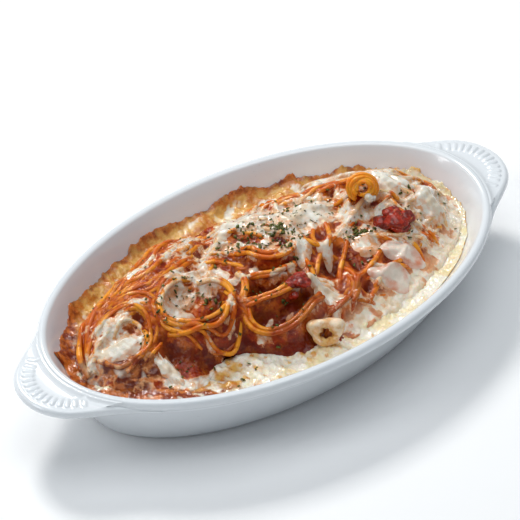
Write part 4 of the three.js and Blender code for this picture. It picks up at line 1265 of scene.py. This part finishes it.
# Each handful: its middle, how far it scatters along and across, and how many flakes it has.
parsley_spots = (
    (-46, 6, 9, 4, 26), (-34, -2, 4, 6, 14), (-57, -2, 2.5, 6, 16), (-50, -4, 5, 5, 10),
    (-71, -3, 3, 3, 12), (-6, 14, 9, 7, 44), (4, 20, 6, 5, 26), (14, 9, 4, 4, 66), (24, 16, 6, 4, 70),
    (34, 10, 6, 4, 66), (3, 9, 5, 4, 20), (43, -10, 4, 3, 52), (38, -13, 4, 5, 12), (5, -8, 3, 7, 26),
    (-5, -14, 7, 3, 14), (-15, -32, 9, 1.5, 16), (-8, -23, 8, 3, 12), (16, 0, 4, 6, 14),
    (60, 4, 8, 6, 12), (72, -4, 6, 6, 8), (-22, -14, 4, 5, 10), (35, -21, 7, 2, 10), (86, -16, 4, 8, 8),
    (0, 30, 20, 6, 10), (-46, -20, 10, 3, 10), (-62, 24, 12, 5, 9), (-64, -22, 6, 4, 8),
    (-30, -38, 20, 4, 8), (64, -20, 10, 8, 10))
dice = np.random.default_rng(151)
flake_x = np.concatenate([dice.normal(x, sx * 0.75, n) for x, y, sx, sy, n in parsley_spots])
flake_y = np.concatenate([dice.normal(y, sy * 0.75, n) for x, y, sx, sy, n in parsley_spots])
flakes = len(flake_x)
flake_turn = dice.uniform(0, 2 * pi, flakes)
flake_size = np.minimum(dice.gamma(4, 0.12, flakes) + 0.4, 1.25)
corner_turn = np.linspace(0, 2 * pi, 6, endpoint=False) + dice.uniform(-0.3, 0.3, (flakes, 6))
corner_reach = flake_size[:, None] * dice.uniform(0.55, 1.25, (flakes, 6))
stretch = dice.uniform(0.35, 0.8, (flakes, 1))
u, v = corner_reach * np.cos(corner_turn), corner_reach * stretch * np.sin(corner_turn)
lean = dice.normal(0, 0.35, (2, flakes, 1))
rim_x, rim_y = turned((flake_x[:, None], flake_y[:, None]), u, v, flake_turn[:, None])
top_surface = np.maximum(surface, blur_map(surface, 0.6) + 0.25)
flake_z = read_map(top_surface, flake_x, flake_y)
rim_z = flake_z[:, None] + 0.25 + lean[0] * u + lean[1] * v
rim_z = np.clip(read_map(top_surface, rim_x, rim_y) - 0.1, rim_z, rim_z + 0.5)
flake_rim = np.stack([rim_x, rim_y, rim_z], -1)
flake_middle = flake_rim.mean(1)
flake_points = np.concatenate([flake_rim, flake_middle[:, None] + [0, 0, 0.14],
                               flake_middle[:, None] - [0, 0, 0.10]], 1).reshape(-1, 3)
one_flake = np.concatenate([fan_faces(0, 6, 6, True), fan_faces(0, 6, 7, False)])
flake_faces = (one_flake[None] + 8 * np.arange(flakes)[:, None, None]).reshape(-1, 3)
make_piece("parsley", flake_points, np.empty((0, 4), int), flake_faces, parsley_finish.material, "noodles")
